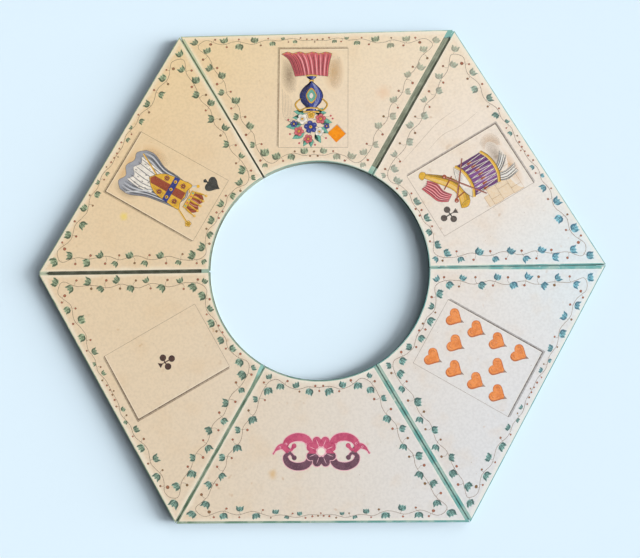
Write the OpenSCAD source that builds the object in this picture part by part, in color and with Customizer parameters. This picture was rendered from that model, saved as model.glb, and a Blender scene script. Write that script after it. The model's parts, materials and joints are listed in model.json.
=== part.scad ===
// Folding hexagonal game board: six pasteboard panels around a round hole, bound at their edges
// with paper strips, faced and lined with paper, and joined by strips of cloth into one chain.
// Z = 0 is the surface the open board lies on, and the printed face is up.

/* [Board] */
// Distance across opposite corners of the open hexagon
across_corners = 500; // [440:5:560]
// Diameter of the round hole in the middle
hole_d = 194; // [150:2:230]
// Thickness of the pasteboard core of a panel
core_t = 5.4; // [3:0.2:9]
// Thickness of the printed paper on the face
face_paper_t = 0.3; // [0.2:0.05:0.5]
// Thickness of the lining paper on the underside
lining_t = 0.3; // [0.2:0.05:0.5]

/* [Joints] */
// Gap between two panels joined by cloth over their faces
over_gap = 1.8; // [1.6:0.2:3.6]
// Gap between two panels joined by cloth underneath
under_gap = 1; // [0.8:0.2:3]
// Gap between the two free ends of the chain
open_gap = 0.8; // [0.6:0.2:3]
// Thickness of the hinge cloth
cloth_t = 0.3; // [0.2:0.05:0.5]
// Width of cloth that is pasted down on each panel
cloth_flange = 14; // [8:1:20]
// Length of joint that stays bare beyond each end of the cloth
cloth_end = 7; // [4:0.5:12]
// Slack between the two leaves of a hinge along its fold
fold_slack = 0.1; // [0.06:0.02:0.2]

/* [Edging] */
// Thickness of the edging paper
edging_t = 0.3; // [0.2:0.05:0.5]
// Edging that shows on the face along the outer edges
outer_turn_over = 0.7; // [0.5:0.1:2.5]
// Edging that shows on the face along the title panel's outer edge
title_turn_over = 1.8; // [0.5:0.1:2.5]
// Edging that shows on the face around the hole
hole_turn_over = 0.9; // [0.5:0.1:2.5]
// Edging that shows on the face along the two free ends
open_turn_over = 2.4; // [0.6:0.1:3]
// Edging that shows on the face beside a joint with its cloth underneath
under_turn_over = 1; // [0.6:0.1:2]
// Cloth that shows on the face beside a joint with its cloth over the faces
over_turn_over = 0.8; // [0.6:0.1:2]
// Cloth that shows on the queen panel's face beside the jack panel
wide_turn_over = 3.6; // [2:0.2:5]
// Edging that is turned under every panel
under_turn = 3; // [2.6:0.2:6]

/* [Hidden] */
$fn = 180;

// Panels run clockwise from the top, seen from above. SIDES holds the joint on each panel's
// clockwise side: cloth over the face, cloth under the panels, or open.
PANELS = ["queen", "jack", "ten", "title", "ace", "king"];
SIDES = ["over", "under", "open", "under", "over", "under"];
PAPERS = ["core", "face_paper", "lining_paper"];
STRIPS = ["outer_edging", "hole_edging", "left_edging", "right_edging"];
LEFT = -1;
RIGHT = 1;

count = len(PANELS);
half_angle = 180 / count;
core_top = lining_t + core_t;
board_t = core_top + face_paper_t;
apothem = across_corners / 2 * cos(half_angle);
hole_r = hole_d / 2;
// A circle midway between the hole and the outer edges
between_r = (hole_r + apothem) / 2;
// Width of panel that the strip on each side takes, wider than any turn-over
strip_w = edging_t
    + max(under_turn, outer_turn_over, title_turn_over, hole_turn_over, open_turn_over, wide_turn_over);
// How far a cutting solid runs past the faces that it cuts
past = 1;

function side_kind(i, side) = SIDES[(i + (side == RIGHT ? 0 : count - 1)) % count];
function joint_gap(kind) = kind == "open" ? open_gap : kind == "over" ? over_gap : under_gap;
function side_gap(i, side) = joint_gap(side_kind(i, side)) / 2;
function outer_turn(i) = PANELS[i] == "title" ? title_turn_over : outer_turn_over;
function side_turn(i, side) =
    PANELS[i] == "queen" && side == RIGHT ? wide_turn_over
    : side_kind(i, side) == "open" ? open_turn_over
    : side_kind(i, side) == "over" ? over_turn_over
    : under_turn_over;
function hinged(i, side) = side_kind(i, side) != "open";
function over_face(i, side) = side_kind(i, side) == "over";

NODES = concat(
    [for (p = PANELS) for (piece = concat(PAPERS, STRIPS)) str(p, "_", piece)],
    [for (i = [0 : count - 1]) if (hinged(i, LEFT)) str(PANELS[i], "_left_hinge_cloth")],
    [for (i = [0 : count - 1]) if (hinged(i, RIGHT)) str(PANELS[i], "_right_hinge_cloth")]
);
node = "all";

// A panel is drawn with its outer edge towards +Y, and turned to its place in the ring.
module in_place(i) rotate(-2 * half_angle * i) children();

// One panel's outline: left and right are distances from the joint lines, outer and inner are
// distances from the hexagon's edge and from the hole's edge.
module panel_outline(left, right, outer, inner) {
    far = apothem - outer;
    apex = [(left - right) / (2 * cos(half_angle)), (left + right) / (2 * sin(half_angle))];
    far_left = -(far * sin(half_angle) - left) / cos(half_angle);
    far_right = (far * sin(half_angle) - right) / cos(half_angle);
    difference() {
        polygon([apex, [far_right, far], [far_left, far]]);
        circle(r = hole_r + inner);
    }
}

// The outline of panel i, drawn in from its own edges.
module inset_outline(i, left, right, outer, inner)
    panel_outline(side_gap(i, LEFT) + left, side_gap(i, RIGHT) + right, outer, inner);

// A straight band along one joint line, from the line into the panel.
module side_band(side, width)
    mirror([side == LEFT ? 1 : 0, 0]) rotate(90 - half_angle) square([across_corners, width]);

module slab(z, t) translate([0, 0, z]) linear_extrude(t) children();

module core_envelope(i)
    slab(lining_t, core_t) inset_outline(i, edging_t, edging_t, edging_t, edging_t);

module face_sheet(i)
    slab(core_top, face_paper_t)
        inset_outline(i, side_turn(i, LEFT), side_turn(i, RIGHT), outer_turn(i), hole_turn_over);

module lining_sheet(i)
    slab(0, lining_t) inset_outline(i, under_turn, under_turn, under_turn, under_turn);

// One half of a hinge, from its fold in mid-gap to where it ends under the paper.
module leaf_outline(i, side)
    intersection() {
        panel_outline(fold_slack / 2, fold_slack / 2, cloth_end, cloth_end);
        side_band(side, side_gap(i, side) + cloth_flange);
    }

module leaf(i, side)
    slab(over_face(i, side) ? core_top - cloth_t : lining_t, cloth_t) leaf_outline(i, side);

// Cloth over the joint lies in a seat open to the face, and cloth under it in one open below.
module leaf_seat(i, side) {
    depth = over_face(i, side) ? cloth_t + face_paper_t : cloth_t + lining_t;
    slab(over_face(i, side) ? core_top - cloth_t : -past, depth + past) leaf_outline(i, side);
}

module leaf_seats(i)
    for (side = [LEFT, RIGHT])
        if (hinged(i, side)) leaf_seat(i, side);

// The bound edge all round a panel, turned over onto the face and under the lining.
module edging_channel(i)
    difference() {
        slab(0, board_t) inset_outline(i, 0, 0, 0, 0);
        core_envelope(i);
        face_sheet(i);
        lining_sheet(i);
        leaf_seats(i);
    }

module side_zone(i, side)
    slab(-past, board_t + 2 * past) side_band(side, side_gap(i, side) + strip_w);

module core(i)
    color([0.62, 0.52, 0.38]) in_place(i) difference() {
        core_envelope(i);
        leaf_seats(i);
    }

module face_paper(i)
    color([0.91, 0.85, 0.74]) in_place(i) face_sheet(i);

module lining_paper(i)
    color([0.32, 0.42, 0.36]) in_place(i) lining_sheet(i);

module side_edging(i, side)
    color([0.47, 0.70, 0.63]) in_place(i) intersection() {
        edging_channel(i);
        side_zone(i, side);
    }

// The outer strip lies outside the mid circle, the hole's strip inside it.
module outer_edging(i)
    color([0.47, 0.70, 0.63]) in_place(i) difference() {
        edging_channel(i);
        for (side = [LEFT, RIGHT]) side_zone(i, side);
        slab(-past, board_t + 2 * past) circle(r = between_r);
    }

module hole_edging(i)
    color([0.47, 0.70, 0.63]) in_place(i) intersection() {
        difference() {
            edging_channel(i);
            for (side = [LEFT, RIGHT]) side_zone(i, side);
        }
        slab(-past, board_t + 2 * past) circle(r = between_r);
    }

module hinge_cloth(i, side)
    color(over_face(i, side) ? [0.32, 0.35, 0.30] : [0.36, 0.60, 0.53])
        in_place(i) leaf(i, side);

function shown(i, piece) = node == "all" || node == str(PANELS[i], "_", piece);

for (i = [0 : count - 1]) {
    if (shown(i, "core")) core(i);
    if (shown(i, "face_paper")) face_paper(i);
    if (shown(i, "lining_paper")) lining_paper(i);
    if (shown(i, "outer_edging")) outer_edging(i);
    if (shown(i, "hole_edging")) hole_edging(i);
    if (shown(i, "left_edging")) side_edging(i, LEFT);
    if (shown(i, "right_edging")) side_edging(i, RIGHT);
    if (shown(i, "left_hinge_cloth") && hinged(i, LEFT)) hinge_cloth(i, LEFT);
    if (shown(i, "right_hinge_cloth") && hinged(i, RIGHT)) hinge_cloth(i, RIGHT);
}
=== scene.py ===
import json
import math

import bmesh
import bpy
from mathutils import Matrix, Vector

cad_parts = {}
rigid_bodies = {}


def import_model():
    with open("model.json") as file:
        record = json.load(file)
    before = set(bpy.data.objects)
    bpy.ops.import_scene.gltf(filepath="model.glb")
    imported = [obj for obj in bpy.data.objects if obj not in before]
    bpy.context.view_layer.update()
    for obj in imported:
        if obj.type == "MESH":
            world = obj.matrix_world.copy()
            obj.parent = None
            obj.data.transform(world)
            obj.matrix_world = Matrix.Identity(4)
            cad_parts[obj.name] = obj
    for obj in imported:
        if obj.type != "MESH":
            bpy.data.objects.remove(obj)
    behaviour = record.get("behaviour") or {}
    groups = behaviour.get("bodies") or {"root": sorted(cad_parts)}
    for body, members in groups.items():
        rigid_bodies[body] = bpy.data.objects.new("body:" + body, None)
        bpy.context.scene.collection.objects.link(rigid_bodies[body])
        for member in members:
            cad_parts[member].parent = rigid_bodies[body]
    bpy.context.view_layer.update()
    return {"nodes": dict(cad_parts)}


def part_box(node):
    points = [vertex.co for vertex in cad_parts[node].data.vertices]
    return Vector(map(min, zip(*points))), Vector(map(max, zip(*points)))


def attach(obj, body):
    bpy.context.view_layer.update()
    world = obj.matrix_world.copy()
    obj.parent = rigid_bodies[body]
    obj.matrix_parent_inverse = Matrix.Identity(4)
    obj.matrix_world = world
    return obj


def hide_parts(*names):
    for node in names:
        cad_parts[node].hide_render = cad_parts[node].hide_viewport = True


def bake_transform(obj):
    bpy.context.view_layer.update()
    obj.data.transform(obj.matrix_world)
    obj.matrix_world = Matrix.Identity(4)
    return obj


# THE BOARD AS PACKED. Six panels ring a round hole, clockwise from the one at the top, and each
# rides on its own body. Lengths below are in millimetres on the board, and in metres in Blender.
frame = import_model()
nodes = frame["nodes"]
panels = ["queen", "jack", "ten", "title", "ace", "king"]
mm = 0.001
face_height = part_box("queen_face_paper")[1].z / mm
outer_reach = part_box("queen_outer_edging")[1].y / mm
hole_radius = 97.0


# PASTEBOARD. Each panel is layers of rag and straw pulp, pasted together, pressed flat and cut to
# shape. It is covered on every side, so its grey-brown fibre only shows where the board is opened.
def colour(red, green, blue):
    """A paint as the eye names it, 0 to 255, in the light that the shader works in."""
    shares = (((c / 255 + 0.055) / 1.055) ** 2.4 if c > 10 else c / 3295 for c in (red, green, blue))
    return (*shares, 1.0)


class Wire:
    """An output in a node tree. A sum on it adds the Math nodes that work it out."""

    def __init__(self, tree, socket):
        self.tree, self.socket = tree, socket

    def maths(self, operation, *values):
        return self.tree.node("ShaderNodeMath", {"operation": operation}, dict(enumerate(values)))

    def __add__(self, other):
        return self.maths("ADD", self, other)

    def __sub__(self, other):
        return self.maths("SUBTRACT", self, other)

    def __rsub__(self, other):
        return self.maths("SUBTRACT", other, self)

    def __mul__(self, other):
        return self.maths("MULTIPLY", self, other)

    def __abs__(self):
        return self.maths("ABSOLUTE", self)

    def highest(self, other):
        return self.maths("MAXIMUM", self, other)

    def lowest(self, other):
        return self.maths("MINIMUM", self, other)

    def root(self):
        return self.maths("SQRT", self)

    def sine(self):
        return self.maths("SINE", self)

    __radd__, __rmul__ = __add__, __mul__


class Tree:
    """A node tree that is built one node at a time."""

    def __init__(self, tree):
        self.tree = tree

    def node(self, kind, settings=None, sockets=None, out=0):
        """Adds a node of this kind, with its settings first and then its sockets' values or wires."""
        made = self.tree.nodes.new(kind)
        for name, value in (settings or {}).items():
            setattr(made, name, value)
        for name, value in (sockets or {}).items():
            self.feed(made.inputs[name], value)
        return Wire(self, made.outputs[out]) if made.outputs else None

    def parts(self, vector):
        """The three numbers of a vector."""
        apart = self.node("ShaderNodeSeparateXYZ", {}, {0: vector})
        return [Wire(self, socket) for socket in apart.socket.node.outputs]

    def feed(self, socket, value):
        if isinstance(value, Wire):
            self.tree.links.new(value.socket, socket)
        else:
            socket.default_value = value


class Finish(Tree):
    """A material whose patterns lie in millimetres on the board's own frame."""

    def __init__(self, name):
        self.material = bpy.data.materials.new(name)
        self.material.use_nodes = True
        super().__init__(self.material.node_tree)
        self.surface = self.tree.nodes["Principled BSDF"]
        place = self.node("ShaderNodeTexCoord", out="Object")
        self.place = self.node("ShaderNodeVectorMath", {"operation": "SCALE"}, {0: place, "Scale": 1 / mm})

    def across(self):
        """The place's x, y and z."""
        return self.parts(self.place)

    def mark(self, name):
        """A number from 0 to 1 that the mesh carries under this name."""
        return self.node("ShaderNodeAttribute", {"attribute_name": name}, out="Fac")

    def grain(self, size, detail=2.0, stretch=(1, 1, 1), start=0, on=None):
        """Noise from 0 to 1 with lumps of about this size."""
        scaled = {"Vector": on or self.place, "Scale": [s / size for s in stretch], "Location": [start] * 3}
        place = self.node("ShaderNodeMapping", {}, scaled)
        return self.node("ShaderNodeTexNoise", {}, {"Vector": place, "Scale": 1.0, "Detail": detail})

    def between(self, value, low, high):
        """0 below low and 1 above high, with a soft step from one to the other."""
        step = {"Value": value, "From Min": low, "From Max": high}
        return self.node("ShaderNodeMapRange", {"interpolation_type": "SMOOTHSTEP"}, step)

    def below(self, value, low, high):
        """1 below low and 0 above high, with the same soft step."""
        return 1 - self.between(value, low, high)

    def mix(self, first, second, share, blend="MIX"):
        """The first paint with this share of the second laid over it."""
        settings = {"data_type": "RGBA", "blend_type": blend}
        return self.node("ShaderNodeMix", settings, {0: share, 6: first, 7: second}, out=2)

    def darkened(self, paint, share):
        """The paint with this share of its light taken away."""
        return self.mix(paint, colour(70, 60, 50), share, "MULTIPLY")

    def done(self, paint, rough, height=None, depth=0.02, gloss=0.3):
        """Paint, roughness and a height whose step from 0 to 1 is depth millimetres high."""
        self.feed(self.surface.inputs["Base Color"], paint)
        self.feed(self.surface.inputs["Roughness"], rough)
        self.surface.inputs["Specular IOR Level"].default_value = gloss
        if height:
            raised = self.node(
                "ShaderNodeBump", {}, {"Strength": 1.0, "Distance": depth * mm, "Height": height}
            )
            self.feed(self.surface.inputs["Normal"], raised)
        return self.material


def dress(part, material):
    """Gives this material to the CAD nodes whose names end so."""
    for name, piece in nodes.items():
        if name.endswith(part):
            piece.data.materials.clear()
            piece.data.materials.append(material)


def pulp():
    finish = Finish("pasteboard")
    fibre = finish.grain(0.5, 4, stretch=(1, 3, 9))
    matted = finish.between(fibre * 0.6 + finish.grain(6, 3) * 0.4, 0.35, 0.65)
    paint = finish.mix(colour(168, 146, 116), colour(128, 108, 82), matted)
    return finish.done(paint, fibre * 0.1 + 0.85, fibre, 0.03)


dress("_core", pulp())


# LINING PAPER. The underside is covered with one plain sheet of dark green paper on each panel.
# It has slid over tables, so its highest fibres are rubbed pale, most of all towards its rims.
cos_30 = math.cos(math.pi / 6)


def rim_distances(finish):
    """Distances in from the hexagon's edge, out from the hole's edge, and from the nearest joint."""
    x, y, _ = finish.across()
    x, y = abs(x), abs(y)
    outer = outer_reach - y.highest(x * cos_30 + y * 0.5)
    hole = (x * x + y * y).root() - hole_radius
    joint = y.lowest(abs(x * cos_30 - y * 0.5))
    return outer, hole, joint


def rubbed_green():
    finish = Finish("lining_paper")
    outer, hole, joint = rim_distances(finish)
    fibre = finish.grain(0.7, 5)
    clouds = finish.grain(35, 3)
    scuffs = finish.between(finish.grain(9, 6, stretch=(1, 0.25, 1)), 0.56, 0.72)
    rim = finish.below(outer.lowest(hole).lowest(joint), 3.0, 16.0)
    body = finish.mix(colour(74, 96, 80), colour(92, 112, 90), finish.between(clouds, 0.35, 0.65))
    worn = (scuffs * 0.35 + rim * finish.between(fibre, 0.45, 0.6) * 0.55).lowest(0.8)
    return finish.done(finish.mix(body, colour(168, 166, 140), worn), 0.9 - scuffs * 0.15, fibre, 0.02)


dress("_lining_paper", rubbed_green())


# EDGING PAPER. Narrow strips of glazed green paper bind every edge, turned over onto the face and
# under the lining. The glaze is rubbed pale on the face, and the walls down the board's edges are
# painted dark, as painted shade and to keep light from bouncing off them.
def by_place(finish, upper_left, upper_right, lower_left, lower_right):
    """A colour that changes softly over the board, from corner to corner."""
    x, y, _ = finish.across()
    right, up = finish.between(x, -170.0, 215.0), finish.between(y, -190.0, 190.0)
    lower, upper = finish.mix(lower_left, lower_right, right), finish.mix(upper_left, upper_right, right)
    return finish.mix(lower, upper, up)


def paper_tone_and_glare(finish):
    """The paper's colour, cream at the top left, pinkish at the top right and cool at the lower right. It is
    partly the paper's own tone and partly painted light, darker towards the left where the light falls off.
    It has yellowed most along the top edge, and at the right-hand corner a painted glare of the window
    turns it bluish white."""
    x, y, _ = finish.across()
    corners = colour(231, 204, 162), colour(241, 228, 213), colour(224, 205, 178), colour(222, 225, 229)
    ground = by_place(finish, *corners)
    paper = finish.mix(ground, colour(238, 212, 150), finish.between(y, 120.0, 215.0) * 0.2)
    # A painted glare of the window turns the paper bluish white towards the right-hand corner.
    return finish.mix(paper, colour(216, 242, 255), finish.between(x - abs(y) * 0.9, 90.0, 250.0) * 0.5)


def glazed_green():
    finish = Finish("edging_paper")
    outer, hole, joint = rim_distances(finish)
    x, y, z = finish.across()
    fibre, patches = finish.grain(0.6, 4), finish.grain(11, 4)
    corners = colour(186, 194, 156), colour(114, 176, 172), colour(106, 130, 102), colour(106, 172, 170)
    sound = by_place(finish, *corners)

    # Round the hole, away from the joints, the glaze is gone and the edging is paler. At the upper right it
    # is whitened into a painted highlight along the rim.
    at_right = finish.between(x, 0.0, 40.0) * finish.between(y, 12.0, 40.0)
    bared_and_highlit = finish.mix(colour(196, 202, 186), colour(240, 244, 232), at_right)
    at_sides = at_right + finish.below(x, -90.0, -30.0)
    off_ends = finish.below(hole, 3.0, 6.0) * finish.between(joint, 3.6, 5.0)
    sound = finish.mix(sound, bared_and_highlit, off_ends * at_sides * 0.5)

    # The joint at the upper left is worn to the paper near the hole.
    off_joint = abs(x * cos_30 + y * 0.5)
    inner_part = finish.below(y, 125.0, 160.0) * finish.between(y, 0.0, 40.0)
    sound = finish.mix(sound, colour(236, 222, 196), inner_part * finish.below(off_joint, 2.0, 4.0) * 0.8)

    # The bindings at the joints' inner ends are cleaner, and at the left almost unfaded.
    in_joint = finish.below(joint, 3.6, 4.6)
    lower_left = finish.below(hole, 7.0, 14.0) * finish.below(y, -75.0, -65.0) * finish.below(x, -30.0, -10.0)
    one_side = finish.below(x * cos_30 - y * 0.5, -0.1, 0.3)
    sound = finish.mix(sound, colour(150, 204, 192), lower_left * one_side * in_joint * 0.8)
    at_left = finish.below(x, -85.0, -70.0)
    two_joints = finish.between(y, 60.0, 75.0) * finish.between(x, 10.0, 30.0) + at_left
    unfaded = finish.mix(colour(104, 166, 148), colour(52, 136, 116), at_left)
    sound = finish.mix(sound, unfaded, two_joints * finish.below(hole, 7.0, 9.0) * in_joint * 0.75)

    # Rubbing has taken the glaze off in patches and along the fold at the rim.
    fold = finish.below(outer.lowest(hole), 0.3, 0.9)
    chafed = fold * finish.between(fibre + patches, 0.85, 1.2)
    rubbed = (finish.between(patches, 0.4, 0.62) * 0.6 + chafed * 0.4).lowest(0.95)
    paint = finish.mix(sound, finish.mix(sound, colour(232, 230, 212), 0.5), rubbed)
    edge_green = finish.mix(colour(96, 138, 104), colour(58, 146, 152), finish.between(x, -160.0, 120.0))
    paint = finish.mix(paint, edge_green, fold * (1 - at_right) * 0.5)
    scuffed = finish.between(finish.grain(2.6, 5, start=7), 0.64, 0.74)
    paint = finish.mix(paint, paper_tone_and_glare(finish), scuffed * 0.6)

    # The board's walls, between the folds at the face and at the underside, are painted dark. At the right
    # this is painted shade: dark teal, darkest on the outer walls. At the left, where the walls face the
    # light, they are brown-black so that little light bounces off them onto the floor. At the top of the hole
    # they are paler.
    wall = finish.between(z, 0.05, 0.4) * finish.below(z, face_height - 0.4, face_height - 0.05)
    teal = finish.mix(colour(30, 68, 70), colour(56, 108, 101), finish.between(outer, 0.5, 2.0))
    wall_shade = finish.mix(colour(46, 44, 34), teal, finish.between(x, -40.0, 60.0))
    paler_at_top = finish.between(y, 40.0, 90.0) * finish.below(hole, 0.5, 2.0)
    wall_shade = finish.mix(wall_shade, colour(150, 158, 146), paler_at_top * 0.6)
    paint = finish.mix(paint, wall_shade, wall * 0.96)
    # Near the hole the edging in the upper-left joint's gap is painted near black, as painted shade in the
    # deep gap.
    paint = finish.mix(paint, colour(18, 14, 8), inner_part * finish.below(off_joint, 0.6, 0.85))
    return finish.done(paint, rubbed * 0.2 + 0.55, fibre, 0.015, gloss=0.25)


edging = glazed_green()
dress("_edging", edging)


# HINGE CLOTH. Five strips of fine bookcloth are pasted across the joints, where the real cloth bends as the
# panels fold; each is modelled as one fixed strip.
# Two are dark and lie over the gap, under the face paper. Three are green, lie under the gap and are
# pushed up into it, rubbed pale where they stand high and painted dark brown as shade where they lie
# deep. Along the fold over the gap all of them are darkened as painted shade.
def bookcloth(name, corners, crease):
    """Cloth that has faded to these colours at the board's four corners. Along the fold over the gap it is
    darkened by this share as painted shade, and where it lies deep it is painted dark brown as shade."""
    finish = Finish(name)
    x, y, z = finish.across()
    lie = finish.node("ShaderNodeUVMap", {"uv_map": "weave"})
    across, along, _ = finish.parts(lie)
    thread = 0.34
    warp, weft = ((way * (2 * math.pi / thread)).sine() for way in (across, along))
    weave = warp * weft * 0.5 + 0.5
    slubs = finish.grain(1.0, 3, stretch=(2.4, 0.05, 1), on=lie)
    fade = finish.between(finish.grain(9, 3, on=lie), 0.4, 0.68)
    body = by_place(finish, *corners)
    pale = finish.mix(body, colour(214, 220, 196), 0.5)
    body = finish.mix(body, pale, finish.between(y, -200.0, -95.0) * finish.below(y, -70.0, -20.0) * 0.8)
    worn = (finish.between(slubs, 0.46, 0.72) * 0.7 + fade * 0.35 + weave * 0.15).lowest(1.0)
    paint = finish.mix(body, pale, worn * (finish.between(x, -160.0, 40.0) * 0.6 + 0.4))
    # Painted shade: darker along the fold over the gap, and dark brown where the cloth lies deep.
    paint = finish.darkened(paint, finish.below(abs(across), 0.3, 1.2) * crease)
    paint = finish.mix(colour(64, 56, 40), paint, finish.between(z, 1.2, 3.6))
    return finish.done(paint, 0.82 - fade * 0.1, weave, 0.04, gloss=0.25)


def added(name, data):
    """A new object in the scene."""
    made = bpy.data.objects.new(name, data)
    bpy.context.scene.collection.objects.link(made)
    return made


def plain(mesh, name, *materials):
    """The finished mesh, with these materials."""
    data = bpy.data.meshes.new(name)
    bmesh.ops.recalc_face_normals(mesh, faces=mesh.faces)
    mesh.to_mesh(data)
    mesh.free()
    for material in materials:
        data.materials.append(material)
    return data


def hinge(first, second, cloth, over, pushed_up):
    """The strip between two neighbours, the first to the left of the joint. It is pushed up into
    the gap by the first of two heights at the outer edge, and by the second at the hole."""
    leaves = [f"{first}_right_hinge_cloth", f"{second}_left_hinge_cloth"]
    angle = math.radians(60 - 60 * panels.index(first))
    along = Vector((math.cos(angle), math.sin(angle), 0))
    across = Vector((-along.y, along.x, 0))
    low, high = (corner.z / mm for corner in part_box(leaves[0]))
    half_gap = 0.9 if over else 0.5
    flange, end = 14.8, 7.1
    middle, thick = (low + high) / 2, high - low - 0.02
    highest = face_height - thick - low - 0.08
    rows, row_pitch = 30, 4.4

    # Half of the strip's section: how far each point lies from the joint, and the share of the push
    # that it takes.
    wall = half_gap - 0.15
    half = [(flange, 0), (9, 0), (4, 0), (half_gap + 0.4, 0), (wall + 0.08, 0.02), (wall, 0.1), (wall, 0.5)]
    half += [(wall, 0.92), (wall - 0.1, 1.0)]
    section = half + [(0.0, 1.0)] + [(-s, share) for s, share in reversed(half)]
    last = len(section) - 1

    def place(i, j, side):
        """One point of the strip: i along it, j across it, on its lower or upper side."""
        s = section[j][0]
        outer = (outer_reach - end - abs(s) * 0.5) / cos_30
        hole = math.sqrt((hole_radius + end) ** 2 - s * s)
        r = hole + (outer - hole) * i / rows
        push = pushed_up[1] + (pushed_up[0] - pushed_up[1]) * (i / rows)
        push *= 1 + 0.06 * math.sin(i * 1.7) + 0.05 * math.sin(i * 0.6 + 1)
        push = min(push, highest)
        nearby = (section[k] for k in (max(j - 1, 0), j, min(j + 1, last)))
        before, here, after = (Vector((s, push * share)) for s, share in nearby)
        lean = (after - before).normalized()
        at = here + Vector((-lean.y, lean.x)) * side * thick / 2
        return (along * r + across * at.x) * mm + Vector((0, 0, (middle + at.y) * mm))

    mesh = bmesh.new()
    weave = mesh.loops.layers.uv.new("weave")
    under, top = (
        [[mesh.verts.new(place(i, j, side)) for j in range(last + 1)] for i in range(rows + 1)]
        for side in (-1, 1)
    )
    reach = [0.0]
    for a, b in zip(under[rows // 2], under[rows // 2][1:]):
        reach.append(reach[-1] + (a.co - b.co).length / mm)
    for i in range(rows):
        for j in range(last):
            mesh.faces.new((top[i][j], top[i + 1][j], top[i + 1][j + 1], top[i][j + 1]))
            mesh.faces.new((under[i][j + 1], under[i + 1][j + 1], under[i + 1][j], under[i][j]))
    for j in range(last):
        mesh.faces.new((top[0][j], top[0][j + 1], under[0][j + 1], under[0][j]))
        mesh.faces.new((top[rows][j + 1], top[rows][j], under[rows][j], under[rows][j + 1]))
    for i in range(rows):
        mesh.faces.new((top[i + 1][0], top[i][0], under[i][0], under[i + 1][0]))
        mesh.faces.new((top[i][-1], top[i + 1][-1], under[i + 1][-1], under[i][-1]))
    for side in (under, top):
        for i, row in enumerate(side):
            for j, vert in enumerate(row):
                for loop in vert.link_loops:
                    loop[weave].uv = (reach[j] - reach[-1] / 2, i * row_pitch)
    area = sum(face.calc_area() for face in mesh.faces) / 2
    name = f"{first}_{second}_hinge_cloth"
    strip = added(name, plain(mesh, name, cloth))
    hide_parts(*leaves)
    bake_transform(strip)


dark_corners = (colour(62, 64, 48), colour(124, 130, 110), colour(66, 70, 54), colour(60, 68, 54))
green_corners = (colour(164, 184, 146), colour(76, 130, 146), colour(116, 138, 104), colour(112, 166, 160))
dark_cloth = bookcloth("dark_hinge_cloth", dark_corners, 0.32)
green_cloth = bookcloth("green_hinge_cloth", green_corners, 0.15)
for first, second, pushed_up in (("queen", "jack", (-0.3, -0.3)), ("ace", "king", (-0.2, -0.2))):
    hinge(first, second, dark_cloth, True, pushed_up)
green_joints = [("king", "queen", (5.5, 1.5)), ("jack", "ten", (4.6, 5.4)), ("title", "ace", (5.4, 5.5))]
for first, second, pushed_up in green_joints:
    hinge(first, second, green_cloth, False, pushed_up)


# FACE PAPER. One sheet of rag paper is pasted over each panel's face. It was white once: it has
# yellowed towards the top left, carries brown spots of damp, and is rubbed clean along its edges. Its
# colour also carries painted light: it is darker towards the left, and a painted glare of the window
# lies bluish white at the right-hand corner.
def turned_to(panel):
    """The turn about the hole from the top panel's place to this panel's."""
    return Matrix.Rotation(math.radians(-60 * panels.index(panel)), 4, "Z")


def stained(finish, paint, panel, x, y, size, stain):
    """A stain on this panel, at x and y with the panel's outer edge up."""
    at = turned_to(panel) @ Vector((x, y, face_height))
    away = finish.node(
        "ShaderNodeVectorMath", {"operation": "DISTANCE"}, {0: finish.place, 1: at}, out="Value"
    )
    return finish.mix(paint, stain, finish.below(away + finish.grain(5, 3) * size, size * 0.5, size * 1.7))


def rag_paper():
    finish = Finish("face_paper")
    outer, hole, joint = rim_distances(finish)
    paint = paper_tone_and_glare(finish)
    mottle = finish.grain(2.2, 3)
    paint = finish.darkened(paint, finish.between(mottle, 0.38, 0.66) * 0.065)
    clouds = finish.between(finish.grain(24, 4, start=3), 0.5, 0.75)
    paint = finish.mix(paint, colour(216, 178, 128), clouds * 0.16)
    damp = finish.between(finish.grain(40, 2, start=5), 0.42, 0.6)
    foxed = finish.between(finish.grain(7, 2, start=11), 0.66, 0.78) * damp
    paint = finish.mix(paint, colour(190, 146, 96), foxed * 0.42)
    dusty = finish.between(finish.grain(17, 2, start=9), 0.45, 0.6)
    specks = finish.between(finish.grain(1.6, 1, start=21), 0.76, 0.82) * dusty
    paint = finish.mix(paint, colour(150, 112, 74), specks * 0.6)
    rim = outer.lowest(hole).lowest(joint) + (finish.grain(14, 4, start=2) - 0.5) * 5.0
    paint = finish.mix(paint, colour(246, 244, 230), finish.below(rim, 1.5, 5.5) * 0.34)
    paint = stained(finish, paint, "king", -43, 176, 4.5, colour(232, 206, 112))
    paint = stained(finish, paint, "queen", 60, 159, 8.0, colour(232, 202, 170))
    paint = stained(finish, paint, "title", 42, 176, 5.0, colour(214, 184, 142))
    laid = finish.grain(1.3, 4) + finish.grain(18, 2) * 1.5
    return finish.done(paint, finish.between(mottle, 0.3, 0.7) * 0.1 + 0.74, laid, 0.035, gloss=0.25)


dress("_face_paper", rag_paper())


# PRINTED BORDER. A vine of ivy leaves and berries runs round each panel just inside its edges. It
# is printed in brown-black line and tinted by hand, the same on every panel and on both its sides.
def wash(name, body, deep, size=1.8, thin=0.2):
    """Water colour on the paper. It dries darker at its rim, and thins where the paper's grain is high."""
    finish = Finish(name)
    mottle = finish.grain(size, 3)
    pooled = finish.grain(size * 3.5, 2, start=4)
    deepened = finish.between(mottle * 0.5 + pooled * 0.5, 0.42, 0.6) * 0.5 + finish.mark("rim") * 0.6
    thinned = finish.between(finish.grain(0.9, 3, start=6), 0.52, 0.72) * thin
    paint = finish.mix(finish.mix(body, deep, deepened.lowest(1.0)), paper_tone_and_glare(finish), thinned)
    return finish.done(paint, mottle * 0.15 + 0.66, mottle, 0.01)


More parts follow.
